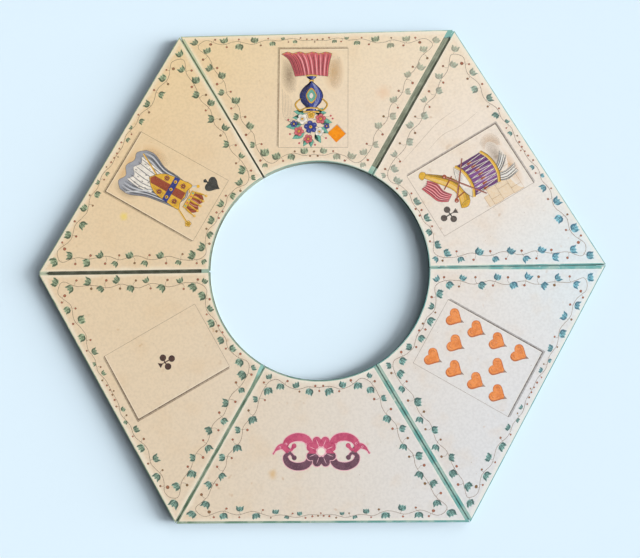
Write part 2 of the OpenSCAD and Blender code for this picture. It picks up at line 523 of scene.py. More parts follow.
def leaf_colour(name, green, teal_green, blue_green, spread):
    """Green that turns to teal towards the lower right, and to blue at the right-hand corner. Some
    sheets were tinted with a thinner wash than others, and light has faded it beside one joint."""
    finish = Finish(name)
    x, y, _ = finish.across()
    mottle = finish.grain(1.5, 3)
    blue = finish.between(x * 0.95 - abs(y) * 0.7 + (finish.grain(60, 1) - 0.5) * 70, 60.0, 180.0)
    teal = finish.between(x * 0.8 - y * 0.6, -110.0, 100.0)
    bleached = finish.below(abs(x * 0.87 - y * 0.5), 8.0, 75.0) * finish.between(y, 20.0, 80.0)
    paint = finish.mix(finish.mix(green, teal_green, teal), blue_green, blue)
    tone = (finish.mark("tone") - 0.5) * spread
    share = finish.between(mottle, 0.36, 0.64) * 0.4 + finish.mark("rim") * 0.3 + tone
    paint = finish.mix(paint, finish.mix(paint, colour(44, 66, 60), 0.5), share.highest(0.0).lowest(1.0))
    paint = finish.mix(paint, paper_tone_and_glare(finish), finish.mark("faded") * 0.6 + bleached * 0.3)
    return finish.done(paint, mottle * 0.15 + 0.64, mottle, 0.01)


def berry_colour():
    """Brick red over an olive brown that shows on some of the berries."""
    finish = Finish("berry_tint")
    mottle = finish.grain(1.2, 3)
    greener = finish.between(finish.mark("tone"), 0.5, 0.9)
    paint = finish.mix(colour(176, 110, 84), colour(142, 114, 76), greener)
    deep = (finish.between(mottle, 0.4, 0.6) * 0.4 + finish.mark("rim") * 0.6).lowest(0.9)
    paint = finish.mix(paint, colour(96, 60, 44), deep)
    return finish.done(paint, mottle * 0.15 + 0.66, mottle, 0.01)


leaf_tint = leaf_colour("leaf_tint", colour(156, 176, 142), colour(122, 174, 166), colour(124, 196, 212), 0.8)
leaf_line = leaf_colour("leaf_line", colour(62, 88, 66), colour(44, 92, 88), colour(38, 108, 134), 0.4)
vine_ink = wash("vine_ink", colour(146, 122, 102), colour(106, 82, 70), size=2.5, thin=0.45)
berry_tint = berry_colour()


def flow(points, steps=3, closed=False):
    """A smooth path through these points."""
    count = len(points)
    path = []
    for i in range(count if closed else count - 1):
        near = [(i + k) % count if closed else min(max(i + k, 0), count - 1) for k in (-1, 0, 1, 2)]
        a, b, c, d = (Vector(points[k][:2]) for k in near)
        slope, bend, twist = c - a, 2 * a - 5 * b + 4 * c - d, 3 * b - a - 3 * c + d
        for t in (k / steps for k in range(steps)):
            path.append(0.5 * (2 * b + slope * t + bend * t**2 + twist * t**3))
    return path if closed else path + [Vector(points[-1][:2])]


ink_lift, ink_root = 0.004, 0.04


class Print:
    """Ink and paint on one panel, drawn in millimetres with the panel's outer edge up, or about a
    middle with the hole's side up. Each layer lies a little higher than the one before, and all are
    rooted in the paper."""

    def __init__(self, panel, name, middle=None):
        self.panel, self.name, self.middle = panel, name, middle
        self.mesh = bmesh.new()
        self.rim = self.mesh.verts.layers.float.new("rim")
        self.ink = self.mesh.faces.layers.int.new("ink")
        self.finishes = []

    def put(self, point, height):
        x, y = point[0], point[1]
        if self.middle:
            x, y = self.middle[0] - x, self.middle[1] - y
        return self.mesh.verts.new((x * mm, y * mm, height * mm))

    def heights(self, layer):
        """Where this layer's ink ends, above the paper and in it."""
        return face_height + ink_lift * (1 + layer), face_height - ink_root

    def wear(self, faces, finish):
        if finish not in self.finishes:
            self.finishes.append(finish)
        for face in faces:
            face.material_index = face[self.ink] = self.finishes.index(finish)

    def block(self, sides, finish, layer):
        """A closed slip of ink between two lists of points, its left and right sides."""
        high, low = self.heights(layer)
        left, right = ([(self.put(p, high), self.put(p, low)) for p in side] for side in sides)
        faces = []
        for (a, b), (c, d) in zip(zip(left, left[1:]), zip(right, right[1:])):
            faces.append(self.mesh.faces.new((a[0], c[0], d[0], b[0])))
            faces.append(self.mesh.faces.new((b[1], d[1], c[1], a[1])))
            faces.append(self.mesh.faces.new((b[0], b[1], a[1], a[0])))
            faces.append(self.mesh.faces.new((c[0], c[1], d[1], d[0])))
        for (a, b), (c, d) in ((left[0], right[0]), (right[-1], left[-1])):
            faces.append(self.mesh.faces.new((a, b, d, c)))
        self.wear(faces, finish)

    def shape(self, outline, finish, layer=1, rim=0.0, fading=False):
        """A closed patch. Its rim is darker over this width, or it fades from its middle to its rim."""
        outline = [Vector(p[:2]) for p in outline]
        points = [p for p, q in zip(outline, outline[-1:] + outline[:-1]) if (p - q).length > 0.03]
        if sum(p.cross(q) for p, q in zip(points, points[1:] + points[:1])) < 0:
            points.reverse()
        top, under = ([self.put(p, z) for p in points] for z in self.heights(layer))
        faces = [self.mesh.faces.new(top), self.mesh.faces.new(under[::-1])]
        for a, b, c, d in zip(top, under, under[1:] + under[:1], top[1:] + top[:1]):
            faces.append(self.mesh.faces.new((a, b, c, d)))
        self.wear(faces, finish)
        if rim or fading:
            for vert in top:
                vert[self.rim] = 1.0
        if fading:
            bmesh.ops.poke(self.mesh, faces=[faces[0]])["verts"][0][self.rim] = 0.0
        elif rim:
            faces[0].normal_update()
            inset = {"faces": [faces[0]], "thickness": rim * mm, "use_even_offset": False}
            bmesh.ops.inset_individual(self.mesh, **inset)
            for vert in faces[0].verts:
                vert[self.rim] = 0.0

    def disc(self, x, y, radius, finish, layer=1, rim=0.0, sides=16):
        turns = [2 * math.pi * k / sides for k in range(sides)]
        edge = [(x + radius * math.cos(t), y + radius * math.sin(t)) for t in turns]
        self.shape(edge, finish, layer, rim)

    def stroke(self, path, width, finish, layer=2, start=0.25, end=0.25, closed=False):
        """A pen line along a path, narrowed to these shares of its width at its ends."""
        path = [Vector(p[:2]) for p in path]
        if closed:
            path, start, end = path + path[:1], 1.0, 1.0
        sides = [], []
        for i, p in enumerate(path):
            lean = (path[min(i + 1, len(path) - 1)] - path[max(i - 1, 0)]).normalized()
            if closed and i in (0, len(path) - 1):
                lean = (path[1] - path[-2]).normalized()
            t = i / (len(path) - 1)
            begun, ended = min(t * 4, 1), min((1 - t) * 4, 1)
            share = min(1.0, start + (1 - start) * begun, end + (1 - end) * ended)
            aside = Vector((-lean.y, lean.x)) * (width / 2 * share)
            sides[0].append(p + aside)
            sides[1].append(p - aside)
        self.block(sides, finish, layer)

    def mesh_only(self):
        return plain(self.mesh, self.name, *self.finishes)

    def laid(self):
        """The finished print, on its panel."""
        laid_on(self.panel, self.name, self.mesh_only(), pasted(self.panel))


# Each sheet was printed whole, then pasted down a little off its place and a little askew: x and y in
# millimetres, and a turn in degrees about the sheet's middle, which is this far from the hole's.
sheet_middle = 157.0
askew = {
    "queen": (-2.2, 0.3, -1.05), "jack": (1.1, -1.3, 0.2), "ten": (1.2, 1.2, -0.3),
    "title": (1.0, 0.5, 0.0), "ace": (-0.4, -0.85, -0.6), "king": (0.3, -0.65, -0.35),
}


def pasted(panel):
    """The way from a print drawn square on the top panel to its own place on this panel."""
    x, y, turn = askew[panel]
    middle = Matrix.Translation((0, sheet_middle * mm, 0))
    turned = middle @ Matrix.Rotation(math.radians(turn), 4, "Z") @ middle.inverted()
    return turned_to(panel) @ Matrix.Translation((x * mm, y * mm, 0)) @ turned


def laid_on(panel, name, data, way):
    """This mesh, moved by this way, as a new piece of the panel's body."""
    data.name = f"{panel}_{name}"
    data.transform(way)
    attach(added(f"{panel}_{name}", data), f"{panel}_panel")


def recipe(name, inputs):
    """A Geometry Nodes tree with a geometry to work on and these named inputs, and their wires."""
    tree = Tree(bpy.data.node_groups.new(name, "GeometryNodeTree"))
    tree.tree.interface.new_socket(name="Geometry", in_out="INPUT", socket_type="NodeSocketGeometry")
    tree.tree.interface.new_socket(name="Geometry", in_out="OUTPUT", socket_type="NodeSocketGeometry")
    for label, kind in inputs.items():
        tree.tree.interface.new_socket(name=label, in_out="INPUT", socket_type=f"NodeSocket{kind}")
    start = tree.node("NodeGroupInput")
    return tree, {socket.name: Wire(tree, socket) for socket in start.socket.node.outputs if socket.name}


def carried(tree, name, kind="FLOAT"):
    """What the geometry carries under this name."""
    return tree.node("GeometryNodeInputNamedAttribute", {"data_type": kind}, {"Name": name})


def vector(tree, **axes):
    return tree.node("ShaderNodeCombineXYZ", {}, axes)


def chance(tree, low, high, seed):
    return tree.node(
        "FunctionNodeRandomValue", {"data_type": "FLOAT"}, {2: low, 3: high, "Seed": seed}, out=1
    )


def moved(tree, geometry, offset):
    return tree.node("GeometryNodeSetPosition", {}, {"Geometry": geometry, "Offset": offset})


def ending(tree, geometry, materials):
    """The tree's last nodes: real geometry, with each material on the faces that carry its number."""
    geometry = tree.node("GeometryNodeRealizeInstances", {}, {0: geometry})
    number = carried(tree, "ink", "INT")
    for k, material in enumerate(materials):
        chosen = tree.node(
            "FunctionNodeCompare", {"data_type": "INT", "operation": "EQUAL"}, {2: number, 3: k}
        )
        painted = {"Geometry": geometry, "Selection": chosen, "Material": material}
        geometry = tree.node("GeometryNodeSetMaterial", {}, painted)
    tree.node("NodeGroupOutput", {}, {0: geometry})


def grown(tree, piece, values):
    """The plain mesh that the tree makes of this object with these values for its inputs."""
    work = piece.modifiers.new("work", "NODES")
    work.node_group = tree.tree
    for socket in tree.tree.interface.items_tree:
        if socket.in_out == "INPUT" and socket.name in values:
            work[socket.identifier] = values[socket.name]
    bpy.context.view_layer.update()
    graph = bpy.context.evaluated_depsgraph_get()
    mesh = bpy.data.meshes.new_from_object(piece.evaluated_get(graph), depsgraph=graph)
    piece.modifiers.remove(work)
    return mesh


def border_recipe(inputs):
    tree, given = recipe("ivy_border", inputs)

    def planted(shapes, several, places, seed):
        """A copy of the shape, or of one of several, at each place, turned and sized as it says."""
        which = tree.node(
            "FunctionNodeRandomValue", {"data_type": "INT"}, {4: 0, 5: 2, "Seed": seed + 3}, out=2
        )
        points = tree.node("GeometryNodeObjectInfo", {}, {"Object": given[places]}, out="Geometry")
        aside, more = given["Turn spread"], given["Size spread"]
        turn = carried(tree, "turn") + chance(tree, 0.0 - aside, aside, seed)
        size = carried(tree, "size") * (1 + chance(tree, 0.0 - more, more, seed + 1))
        pick = {"Pick Instance": several, "Instance Index": which}
        pick |= {"Rotation": vector(tree, Z=turn), "Scale": vector(tree, X=size, Y=size, Z=1.0)}
        copies = tree.node("GeometryNodeInstanceOnPoints", {}, {"Points": points, "Instance": shapes} | pick)
        settings = {"data_type": "FLOAT", "domain": "INSTANCE"}
        for label, value in (("tone", chance(tree, 0.0, 1.0, seed + 2)), ("faded", given["Fading"])):
            stored = {"Geometry": copies, "Name": label, "Value": value}
            copies = tree.node("GeometryNodeStoreNamedAttribute", settings, stored)
        return copies

    point_pitch, waves_per_metre, seed_step = 1.6 * mm, 160.0, 3.7
    along = {"Curve": given["Geometry"], "Length": point_pitch}
    path = tree.node("GeometryNodeResampleCurve", {"mode": "LENGTH"}, along)
    shaken = {"Vector": tree.node("GeometryNodeInputPosition"), "Scale": waves_per_metre}
    shaken["W"] = given["Seed"] * seed_step
    shake = tree.node("ShaderNodeTexNoise", {"noise_dimensions": "4D"}, shaken, out="Color")
    sideways = {
        "SUBTRACT": {1: (0.5, 0.5, 0.5)},
        "MULTIPLY": {1: (1, 1, 0)},
        "SCALE": {"Scale": given["Hand shake"]},
    }
    for operation, sockets in sideways.items():
        shake = tree.node("ShaderNodeVectorMath", {"operation": operation}, {0: shake} | sockets)
    path = moved(tree, moved(tree, path, shake), vector(tree, Z=given["Height"]))
    path = tree.node("GeometryNodeSetCurveNormal", {"mode": "Z_UP"}, {"Curve": path})
    nib = {"Width": given["Line width"], "Height": given["Line depth"]}
    nib = tree.node("GeometryNodeCurvePrimitiveQuadrilateral", {}, nib)
    thick = tree.node("GeometryNodeInputRadius")
    swept = {"Curve": path, "Profile Curve": nib, "Scale": thick, "Fill Caps": True}
    lines = tree.node("GeometryNodeCurveToMesh", {}, swept)
    apart = {"Separate Children": True, "Reset Children": True}
    leaves = tree.node("GeometryNodeCollectionInfo", {}, {"Collection": given["Leaves"]} | apart)
    leaves = planted(leaves, True, "Leaf places", given["Seed"] * 5)
    berry = tree.node("GeometryNodeObjectInfo", {}, {"Object": given["Berry"]}, out="Geometry")
    berries = planted(berry, False, "Berry places", given["Seed"] * 7 + 3)
    together = tree.node("GeometryNodeJoinGeometry")
    for part in (berries, leaves, lines):
        tree.tree.links.new(part.socket, together.socket.node.inputs[0])
    ending(tree, together, [given["Vine ink"], given["Leaf tint"], given["Leaf line"], given["Berry tint"]])
    return tree


# The right half of the border, from the middle of the outer edge, round the corner, in along the
# side and round to the middle of the hole's edge. A leaf is x, y, size and the way its tips point
# in degrees, and a berry is x, y and size.
vine_half = [
    (0, 211.4), (10, 210.8), (21, 213.4), (33, 210.8), (44, 212), (57, 207.3), (71.5, 210.6), (85, 207),
    (99.5, 212), (107, 203.8), (97, 194.2), (91.6, 183), (82, 170.6), (79, 159), (68.6, 147.6),
    (65.4, 134.5), (55, 122.6), (51.6, 110), (44.6, 98.6), (36.4, 94.8), (27.4, 101.2), (18, 103.8),
    (9, 101.6), (0, 102.6)
]
leaves_half = [
    (18, 209.6, 0.6, -90), (29, 213.4, 0.55, 70), (38.6, 207.6, 0.85, -95), (55, 212, 1, 90),
    (69, 204.4, 1, -90), (83, 211.9, 1.05, 88), (98.5, 200.8, 1, 75), (110.3, 210, 1.1, 48),
    (96.2, 184, 1, 45), (84.3, 177, 0.95, 112), (84.6, 161, 0.9, 12), (71.3, 153.6, 1, 112),
    (71, 138, 0.9, 5), (57.8, 129.7, 1, 112), (55.6, 112, 0.8, 0), (44.2, 105.2, 1.05, 95),
    (33.6, 101.5, 1.0, 75), (43.6, 92.6, 0.75, -70), (20.2, 100.2, 0.88, -85), (8.6, 106.2, 0.95, 80)
]
berries_half = [
    (0, 209.3, 0.7), (2.4, 212, 0.8), (7.2, 212.4, 0.9), (13, 213.9, 0.8), (24, 209.5, 0.8),
    (42.6, 213.6, 0.8), (49.3, 206, 1), (69.5, 213, 0.95), (80.5, 204.4, 1), (91.3, 212.8, 0.95),
    (95.3, 207.6, 1.4), (102, 192, 1.1), (88.8, 184, 1.1), (88.6, 168.8, 1.1), (76, 161.6, 1),
    (75.2, 146, 1), (62.4, 138, 1.05), (61.4, 121.4, 1.05), (47.2, 112.8, 1), (48, 97.6, 1.05),
    (27.4, 96.6, 1.05), (17.2, 105.8, 0.9), (3.4, 101, 0.95), (0, 105.4, 1)
]


def both_sides(half):
    """These places and their mirror images."""
    return half + [(-x, y, size, *(180 - way for way in ways)) for x, y, size, *ways in half if x]


# Three leaves, each an outline and the broad pen strokes with their widths that shade its sides and
# foot, all about the origin. A leaf's horns and its short middle tip point up.
leaf_drawings = {
    "leaf_cup": (
        [
            (0, -3.2), (1.6, -3.0), (3.0, -2.0), (3.5, -0.5), (3.4, 1.2), (3.9, 3.0), (2.5, 2.4),
            (1.5, 1.3), (0.9, 1.7), (0.1, 2.6), (-0.7, 1.6), (-1.4, 1.2), (-2.4, 2.3), (-3.9, 2.8),
            (-3.4, 1.0), (-3.5, -0.5), (-2.9, -2.1), (-1.5, -3.0)
        ],
        [
            ([(-3.2, 2.3), (-2.7, 0.6), (-2.7, -0.9), (-1.4, -2.3), (0.3, -2.6)], 1.5),
            ([(3.3, 2.4), (2.7, 0.8), (2.6, -0.9), (1.5, -2.2)], 1.2)
        ],
    ),
    "leaf_bud": (
        [
            (0, -3.3), (1.8, -3.0), (3.2, -1.8), (3.6, 0.0), (3.1, 1.5), (2.9, 3.1), (1.6, 2.3),
            (0.9, 2.2), (0.1, 3.2), (-0.8, 2.1), (-1.9, 2.5), (-3.4, 3.2), (-3.0, 1.6), (-3.6, 0.0),
            (-3.1, -1.9), (-1.7, -3.0)
        ],
        [
            ([(-2.9, 2.6), (-2.5, 0.9), (-2.8, -0.6), (-1.8, -2.2), (0.6, -2.6)], 1.7),
            ([(1.9, 2.0), (2.6, 0.4), (2.3, -1.2)], 1.1)
        ],
    ),
    "leaf_lobed": (
        [
            (0, -3.1), (1.4, -3.1), (2.9, -2.4), (3.7, -1.2), (3.2, -0.1), (3.9, 1.5), (3.0, 3.3),
            (2.0, 2.1), (1.0, 2.0), (0.3, 3.1), (-0.9, 1.5), (-2.0, 1.9), (-3.4, 2.6), (-3.0, 1.2),
            (-3.9, 0.3), (-3.2, -1.0), (-3.3, -2.4), (-1.6, -2.8)
        ],
        [
            ([(-2.8, 2.1), (-2.4, 0.4), (-2.4, -1.6), (-0.8, -2.4)], 1.5),
            ([(3.0, 2.5), (3.0, 1.0), (2.3, -0.9), (1.0, -2.4)], 1.4)
        ],
    ),
}
veins = [
    ([(0.1, 2.2), (-0.1, 0.7), (0.0, -0.9), (0.1, -2.4)], 0.6),
    ([(-1.6, 1.2), (-1.1, -0.3), (-0.3, -1.7)], 0.45),
    ([(1.6, 1.3), (1.1, -0.3), (0.3, -1.7)], 0.45),
]
border_inks = [vine_ink, leaf_tint, leaf_line, berry_tint]


def border_shape(name):
    """A print to draw one leaf or berry with. All of them number the border's inks alike."""
    print_ = Print(None, name)
    for finish in border_inks:
        print_.wear([], finish)
    return print_


def leaf(name, outline, strokes):
    print_ = border_shape(name)
    print_.shape(outline, leaf_tint, 1, rim=0.5)
    for path, width in strokes + veins:
        print_.stroke(flow(path, 2), width, leaf_line, 2, 0.3, 0.5)
    return bpy.data.objects.new(name, print_.mesh_only())


def border_places(name, places):
    """Points that carry a size, and for leaves how far they are turned."""
    mesh = bpy.data.meshes.new(name)
    mesh.from_pydata([(x * mm, y * mm, 0) for x, y, *_ in places], [], [])
    turns = [math.radians(place[3] - 90) if len(place) > 3 else 0.0 for place in places]
    for label, values in (("turn", turns), ("size", [place[2] for place in places])):
        mesh.attributes.new(label, "FLOAT", "POINT").data.foreach_set("value", values)
    return bpy.data.objects.new(name, mesh)


def pen_paths(name, lines):
    """Lines for a tree to work on. Each is a path and its thickness."""
    curve = bpy.data.curves.new(name, "CURVE")
    curve.dimensions = "3D"
    for path, thickness in lines:
        spline = curve.splines.new("POLY")
        spline.points.add(len(path) - 1)
        for point, (x, y) in zip(spline.points, path):
            point.co, point.radius = (x * mm, y * mm, 0, 1), thickness
    return added(name, curve)


def border_lines():
    """The vine, and a short stalk from it to the foot of each leaf and to each berry."""
    lines = [(flow([(side * x, y) for x, y in vine_half], 8), 1.0) for side in (1, -1)]
    path = lines[0][0] + lines[1][0]
    for x, y, size, *ways in both_sides(leaves_half) + both_sides(berries_half):
        tip = Vector((x, y))
        for way in ways:
            tip -= Vector((math.cos(math.radians(way)), math.sin(math.radians(way)))) * size * 2.8
        root = min(path, key=lambda p: (p - tip).length)
        bend = (root + tip) / 2 + Vector((root.y - tip.y, tip.x - root.x)) * 0.2
        lines.append((flow([root, bend, tip]), 0.6))
    return pen_paths("vine", lines)


def within_sheet(ink, panel, outer_margin):
    """The border drawn in where it would run past its sheet, the more the nearer it lies to the edge."""
    upright = turned_to(panel).inverted()
    ink.transform(upright)
    sheet = [(upright @ v.co).xy for v in nodes[f"{panel}_face_paper"].data.vertices]

    def inward(way, p):
        return way or p.normalized()

    sides = [Vector((-math.cos(math.radians(a)), -math.sin(math.radians(a)))) for a in (90, -30, 210)]
    deep, joint_margin, hole_margin = 14 * mm, 0.2, 0.3
    for way, margin in zip(sides + [None], (outer_margin, joint_margin, joint_margin, hole_margin)):
        edge = min(inward(way, p).dot(p) for p in sheet)
        nearest = min(inward(way, v.co.xy).dot(v.co.xy) for v in ink.vertices) - edge
        share = max(0.0, margin * mm - nearest) / (deep - nearest)
        for v in ink.vertices:
            away = inward(way, v.co.xy)
            v.co.xy += away * max(0.0, deep + edge - away.dot(v.co.xy)) * share
    ink.transform(upright.inverted())
    return ink


leaf_kinds = bpy.data.collections.new("leaf_kinds")
for name, drawing in leaf_drawings.items():
    leaf_kinds.objects.link(leaf(name, *drawing))
berry_print = border_shape("berry")
berry_print.disc(0, 0, 1.05, berry_tint, 3, rim=0.4, sides=10)
berry = bpy.data.objects.new("berry", berry_print.mesh_only())
vine = border_lines()
leaf_places = border_places("leaf_places", both_sides(leaves_half))
berry_places = border_places("berry_places", both_sides(berries_half))
line_depth, fading, margin = 0.02, 0.12, 0.5
border_inputs = {
    "Leaves": ("Collection", leaf_kinds),
    "Leaf places": ("Object", leaf_places),
    "Berry": ("Object", berry),
    "Berry places": ("Object", berry_places),
    "Line width": ("Float", 0.42 * mm),
    "Line depth": ("Float", line_depth * mm),
    "Height": ("Float", (face_height + 0.008 - line_depth / 2) * mm),
    "Hand shake": ("Float", 1.6 * mm),
    "Turn spread": ("Float", 0.3),
    "Size spread": ("Float", 0.1),
    "Fading": ("Float", fading),
    "Seed": ("Int", 1),
    "Vine ink": ("Material", vine_ink),
    "Leaf tint": ("Material", leaf_tint),
    "Leaf line": ("Material", leaf_line),
    "Berry tint": ("Material", berry_tint),
}
border = border_recipe({label: kind for label, (kind, _) in border_inputs.items()})
own_fading, own_margin = {"queen": 0.2}, {"ten": 1.1, "title": 0.9}
for number, panel in enumerate(panels):
    values = {label: value for label, (_, value) in border_inputs.items()}
    ivy = grown(border, vine, values | {"Fading": own_fading.get(panel, fading), "Seed": number + 1})
    ivy.transform(pasted(panel))
    ivy = within_sheet(ivy, panel, own_margin.get(panel, margin))
    laid_on(panel, "border_print", ivy, Matrix.Identity(4))
for spare in (*leaf_kinds.objects, berry, vine, leaf_places, berry_places):
    bpy.data.objects.remove(spare)


# LAPS AND CREASES. The face papers weren't cut quite square, so at two joints a widening sliver of
# the green edging shows beside the paper. Edging also laps over the gap at the ends of the cloth at
# four joints and swells along the free ends. One sheet creased as it was pasted down, and its creases
# are painted on it as faint lines of shade.
def edging_slip(panel, name, side, rows):
    """A slip of edging paper beside the joint on a panel's left or right, -1 or 1. Each row is a
    distance out along the joint, and how far in from it the slip begins and ends there."""
    slip = Print(panel, name)
    along, inward = Vector((side / 2, cos_30)), Vector((-side * cos_30, 0.5))
    near, far = ([along * row[0] + inward * row[k] for row in rows] for k in (1, 2))
    slip.block((near, far) if side < 0 else (far, near), edging, 0)
    laid_on(panel, name, slip.mesh_only(), turned_to(panel))


for panel, start, wide in (("ten", 108.0, 2.0), ("queen", 184.0, 0.9)):
    widening = []
    for k in range(9):
        grown_to = wide * math.sin(math.pi * k / 16) * (1 + 0.08 * math.sin(k * 2.6))
        widening.append((start + (246.0 - start) * k / 8, 1.4, 1.45 + grown_to))
    edging_slip(panel, "edging_lap", -1, widening)
for panel, side in (("ace", 1), ("king", -1), ("queen", 1), ("jack", -1)):
    open_by = 0.6 if panel == "jack" else 0.0
    inner = [(r, begins + open_by, 1.3) for r, begins in ((97.05, 0.04), (100.6, 0.04), (103.9, 0.1))]
    edging_slip(panel, "inner_end", side, inner)
    edging_slip(panel, "outer_end", side, [(242.4, 0.12, 1.3), (245.4, 0.07, 1.3), (248.6, 0.1, 1.3)])
for panel, name, side in (("jack", "other_inner_end", 1), ("ten", "inner_end", -1)):
    edging_slip(panel, name, side, [(97.4, 0.12, 1.5), (100.6, 0.08, 1.5), (104.2, 0.12, 1.5)])
torn = [(97.4, 0.12, 3.5), (103.0, 0.1, 2.9), (110.0, 0.3, 2.1), (118.0, 0.5, 1.55)]
edging_slip("ace", "other_inner_end", -1, torn)


def swollen_end(panel, side):
    """The binding of a free end as a long low bead, from near the hole to near the outer corner."""
    mesh = bmesh.new()
    along, inward = Vector((side / 2, cos_30)), Vector((-side * cos_30, 0.5))
    half_width, half_height, height, start, pitch, sides = 0.32, 1.16, 4.66, 98.5, 6.2, 10
    rings = []
    for i in range(25):
        middle = along * (start + pitch * i) + inward * (0.42 + 0.03 * math.sin(i * 1.9 + side))
        around = []
        for angle in (2 * math.pi * k / sides for k in range(sides)):
            at = middle + inward * half_width * math.cos(angle)
            z = height + half_height * math.sin(angle)
            around.append(mesh.verts.new((at.x * mm, at.y * mm, z * mm)))
        rings.append(around)
    for near, far in zip(rings, rings[1:]):
        for k in range(sides):
            mesh.faces.new((near[k - 1], near[k], far[k], far[k - 1]))
    mesh.faces.new(rings[0])
    mesh.faces.new(rings[-1])
    laid_on(panel, "end_swelling", plain(mesh, "bead", edging), turned_to(panel))


swollen_end("title", -1)
swollen_end("ten", 1)
# The creases are painted as faint darker lines: painted shade, with no fold in the paper.
crease_line = wash("crease_line", colour(206, 190, 170), colour(182, 160, 136), size=3.0, thin=0.7)
creases = Print("jack", "creases")
creases.stroke(flow([(-62, 180), (-60, 160), (-54, 140), (-45, 112)], 6), 0.5, crease_line, 0)
creases.stroke(flow([(-50, 196), (-47, 176), (-48, 158), (-43, 140)], 6), 0.4, crease_line, 0)
creases.laid()


# PRINTED CARDS. Five panels show a playing card, its foot towards the outer edge, as if it had been
# laid on the paper. The card is only a fine line, with a hatched shadow along two of its sides.
cards = {
    "queen": (-31.8, 30.4, 109.6, 201.5),
    "jack": (-32.3, 30.4, 110.9, 203.2),
    "ten": (-32.4, 30.5, 110.1, 202.0),
    "ace": (-32.2, 30.6, 110.8, 201.8),
    "king": (-32.4, 30.3, 110.7, 202.6),
}


def paper_shade(name, shade, share):
    """Thin ink that lets the paper's tone, with its painted light, through."""
    finish = Finish(name)
    mottle = finish.grain(1.6, 3)
    paint = finish.mix(paper_tone_and_glare(finish), shade, finish.between(mottle, 0.3, 0.7) * 0.2 + share)
    return finish.done(paint, mottle * 0.1 + 0.7, mottle, 0.01)


warm_shade = paper_shade("warm_shade", colour(112, 88, 64), 0.24)
cool_shade = paper_shade("cool_shade", colour(104, 104, 112), 0.32)
shade_ink = paper_shade("shade_ink", colour(70, 52, 38), 0.72)
tick_ink = paper_shade("tick_ink", colour(96, 76, 56), 0.45)
brown_ink = paper_shade("brown_ink", colour(116, 88, 62), 0.58)
hair_ink = paper_shade("hair_ink", colour(140, 108, 78), 0.42)
fine_ink = paper_shade("fine_ink", colour(120, 92, 72), 0.55)
band_ink = paper_shade("band_ink", colour(112, 86, 70), 0.5)
card_light = paper_shade("card_light", colour(250, 240, 222), 0.35)


def tick_recipe(inputs):
    """Short slanting ticks, set along the lines of the input curve."""
    tree, given = recipe("hatching", inputs)
    along = {"Curve": given["Geometry"], "Length": given["Pitch"]}
    points = tree.node("GeometryNodeCurveToPoints", {"mode": "LENGTH"}, along)
    tick = tree.node("GeometryNodeMeshCube", {}, {"Size": given["Tick"]})
    settings, stored = {"data_type": "INT", "domain": "FACE"}, {"Geometry": tick, "Name": "ink", "Value": 0}
    tick = tree.node("GeometryNodeStoreNamedAttribute", settings, stored)

    def spread(about, start):
        return chance(tree, about - given["Spread"], about + given["Spread"], given["Seed"] * 3 + start)

    size = vector(tree, X=spread(1.0, 2), Y=1.0, Z=1.0)
    turned = {"Rotation": vector(tree, Z=spread(given["Slope"], 1)), "Scale": size}
    ticks = tree.node("GeometryNodeInstanceOnPoints", {}, {"Points": points, "Instance": tick} | turned)
    ending(tree, moved(tree, ticks, vector(tree, Z=given["Height"])), [given["Ink"]])
    return tree


def card_outline(panel, left, right, bottom, top):
    """The line round the card, its shadow's band and the pale line of light just inside them."""
    card = Print(panel, "card_print")
    across, up = (left + right) / 2, (bottom + top) / 2
    band = [(right + 0.6, top), (right - 0.8, top + 1.9), (left - 1.9, top + 1.9)]
    band += [(left - 1.9, bottom + 1.6), (left, bottom), (left, top)]
    card.shape(band, cool_shade if panel in ("ten", "jack") else warm_shade, 1)
    edge_ink = brown_ink if panel == "queen" else shade_ink
    upright, level = left - 0.3, top + 0.3
    card.stroke([(upright, bottom + 0.2), (upright, up), (upright, top + 0.6)], 0.9, edge_ink, 2, 0.6, 1)
    card.stroke([(left - 0.6, level), (across, level), (right + 0.2, level)], 1.05, edge_ink, 2, 1, 0.6)
    if panel == "ace":
        upright, level = left - 1.35, top + 1.2
        card.stroke([(upright, bottom + 1.0), (upright, up), (upright, top + 1.5)], 1.1, band_ink, 2, 0.7, 1)
        card.stroke([(left - 0.7, level), (across, level), (right - 0.4, level)], 0.7, band_ink, 2, 1, 0.6)
    upright, level = left + 0.6, top - 0.6
    card.stroke([(upright, bottom), (upright, top - 30), (upright, level)], 0.45, card_light, 1, 0.8, 0.8)
    card.stroke([(upright, level), (left + 30, level), (right, level)], 0.45, card_light, 1, 0.8, 0.8)
    card.stroke([(right, top), (right, up), (right, bottom)], 0.4, fine_ink, 2, 0.8, 0.8)
    card.stroke([(right, bottom), (across, bottom), (left, bottom)], 0.4, fine_ink, 2, 0.8, 0.8)
    card.laid()


hatching_inputs = {
    "Pitch": ("Float", 1.15 * mm),
    "Slope": ("Float", math.radians(60)),
    "Tick": ("Vector", (2.0 * mm, 0.3 * mm, 0.08 * mm)),
    "Height": ("Float", (face_height - 0.012) * mm),
    "Spread": ("Float", 0.12),
    "Seed": ("Int", 0),
    "Ink": ("Material", tick_ink),
}
hatching = tick_recipe({label: kind for label, (kind, _) in hatching_inputs.items()})
for number, (panel, (left, right, bottom, top)) in enumerate(cards.items()):
    card_outline(panel, left, right, bottom, top)
    upright, level = left - 1.1, top + 1.1
    edges = [(upright, bottom + 2), (upright, top + 0.6)], [(upright, level), (right - 1.2, level)]
    guide = pen_paths("guide", [(edge, 1.0) for edge in edges])
    values = {label: value for label, (_, value) in hatching_inputs.items()}
    ticks = grown(hatching, guide, values | {"Seed": number})
    laid_on(panel, "card_hatching", ticks, pasted(panel))
    bpy.data.objects.remove(guide)


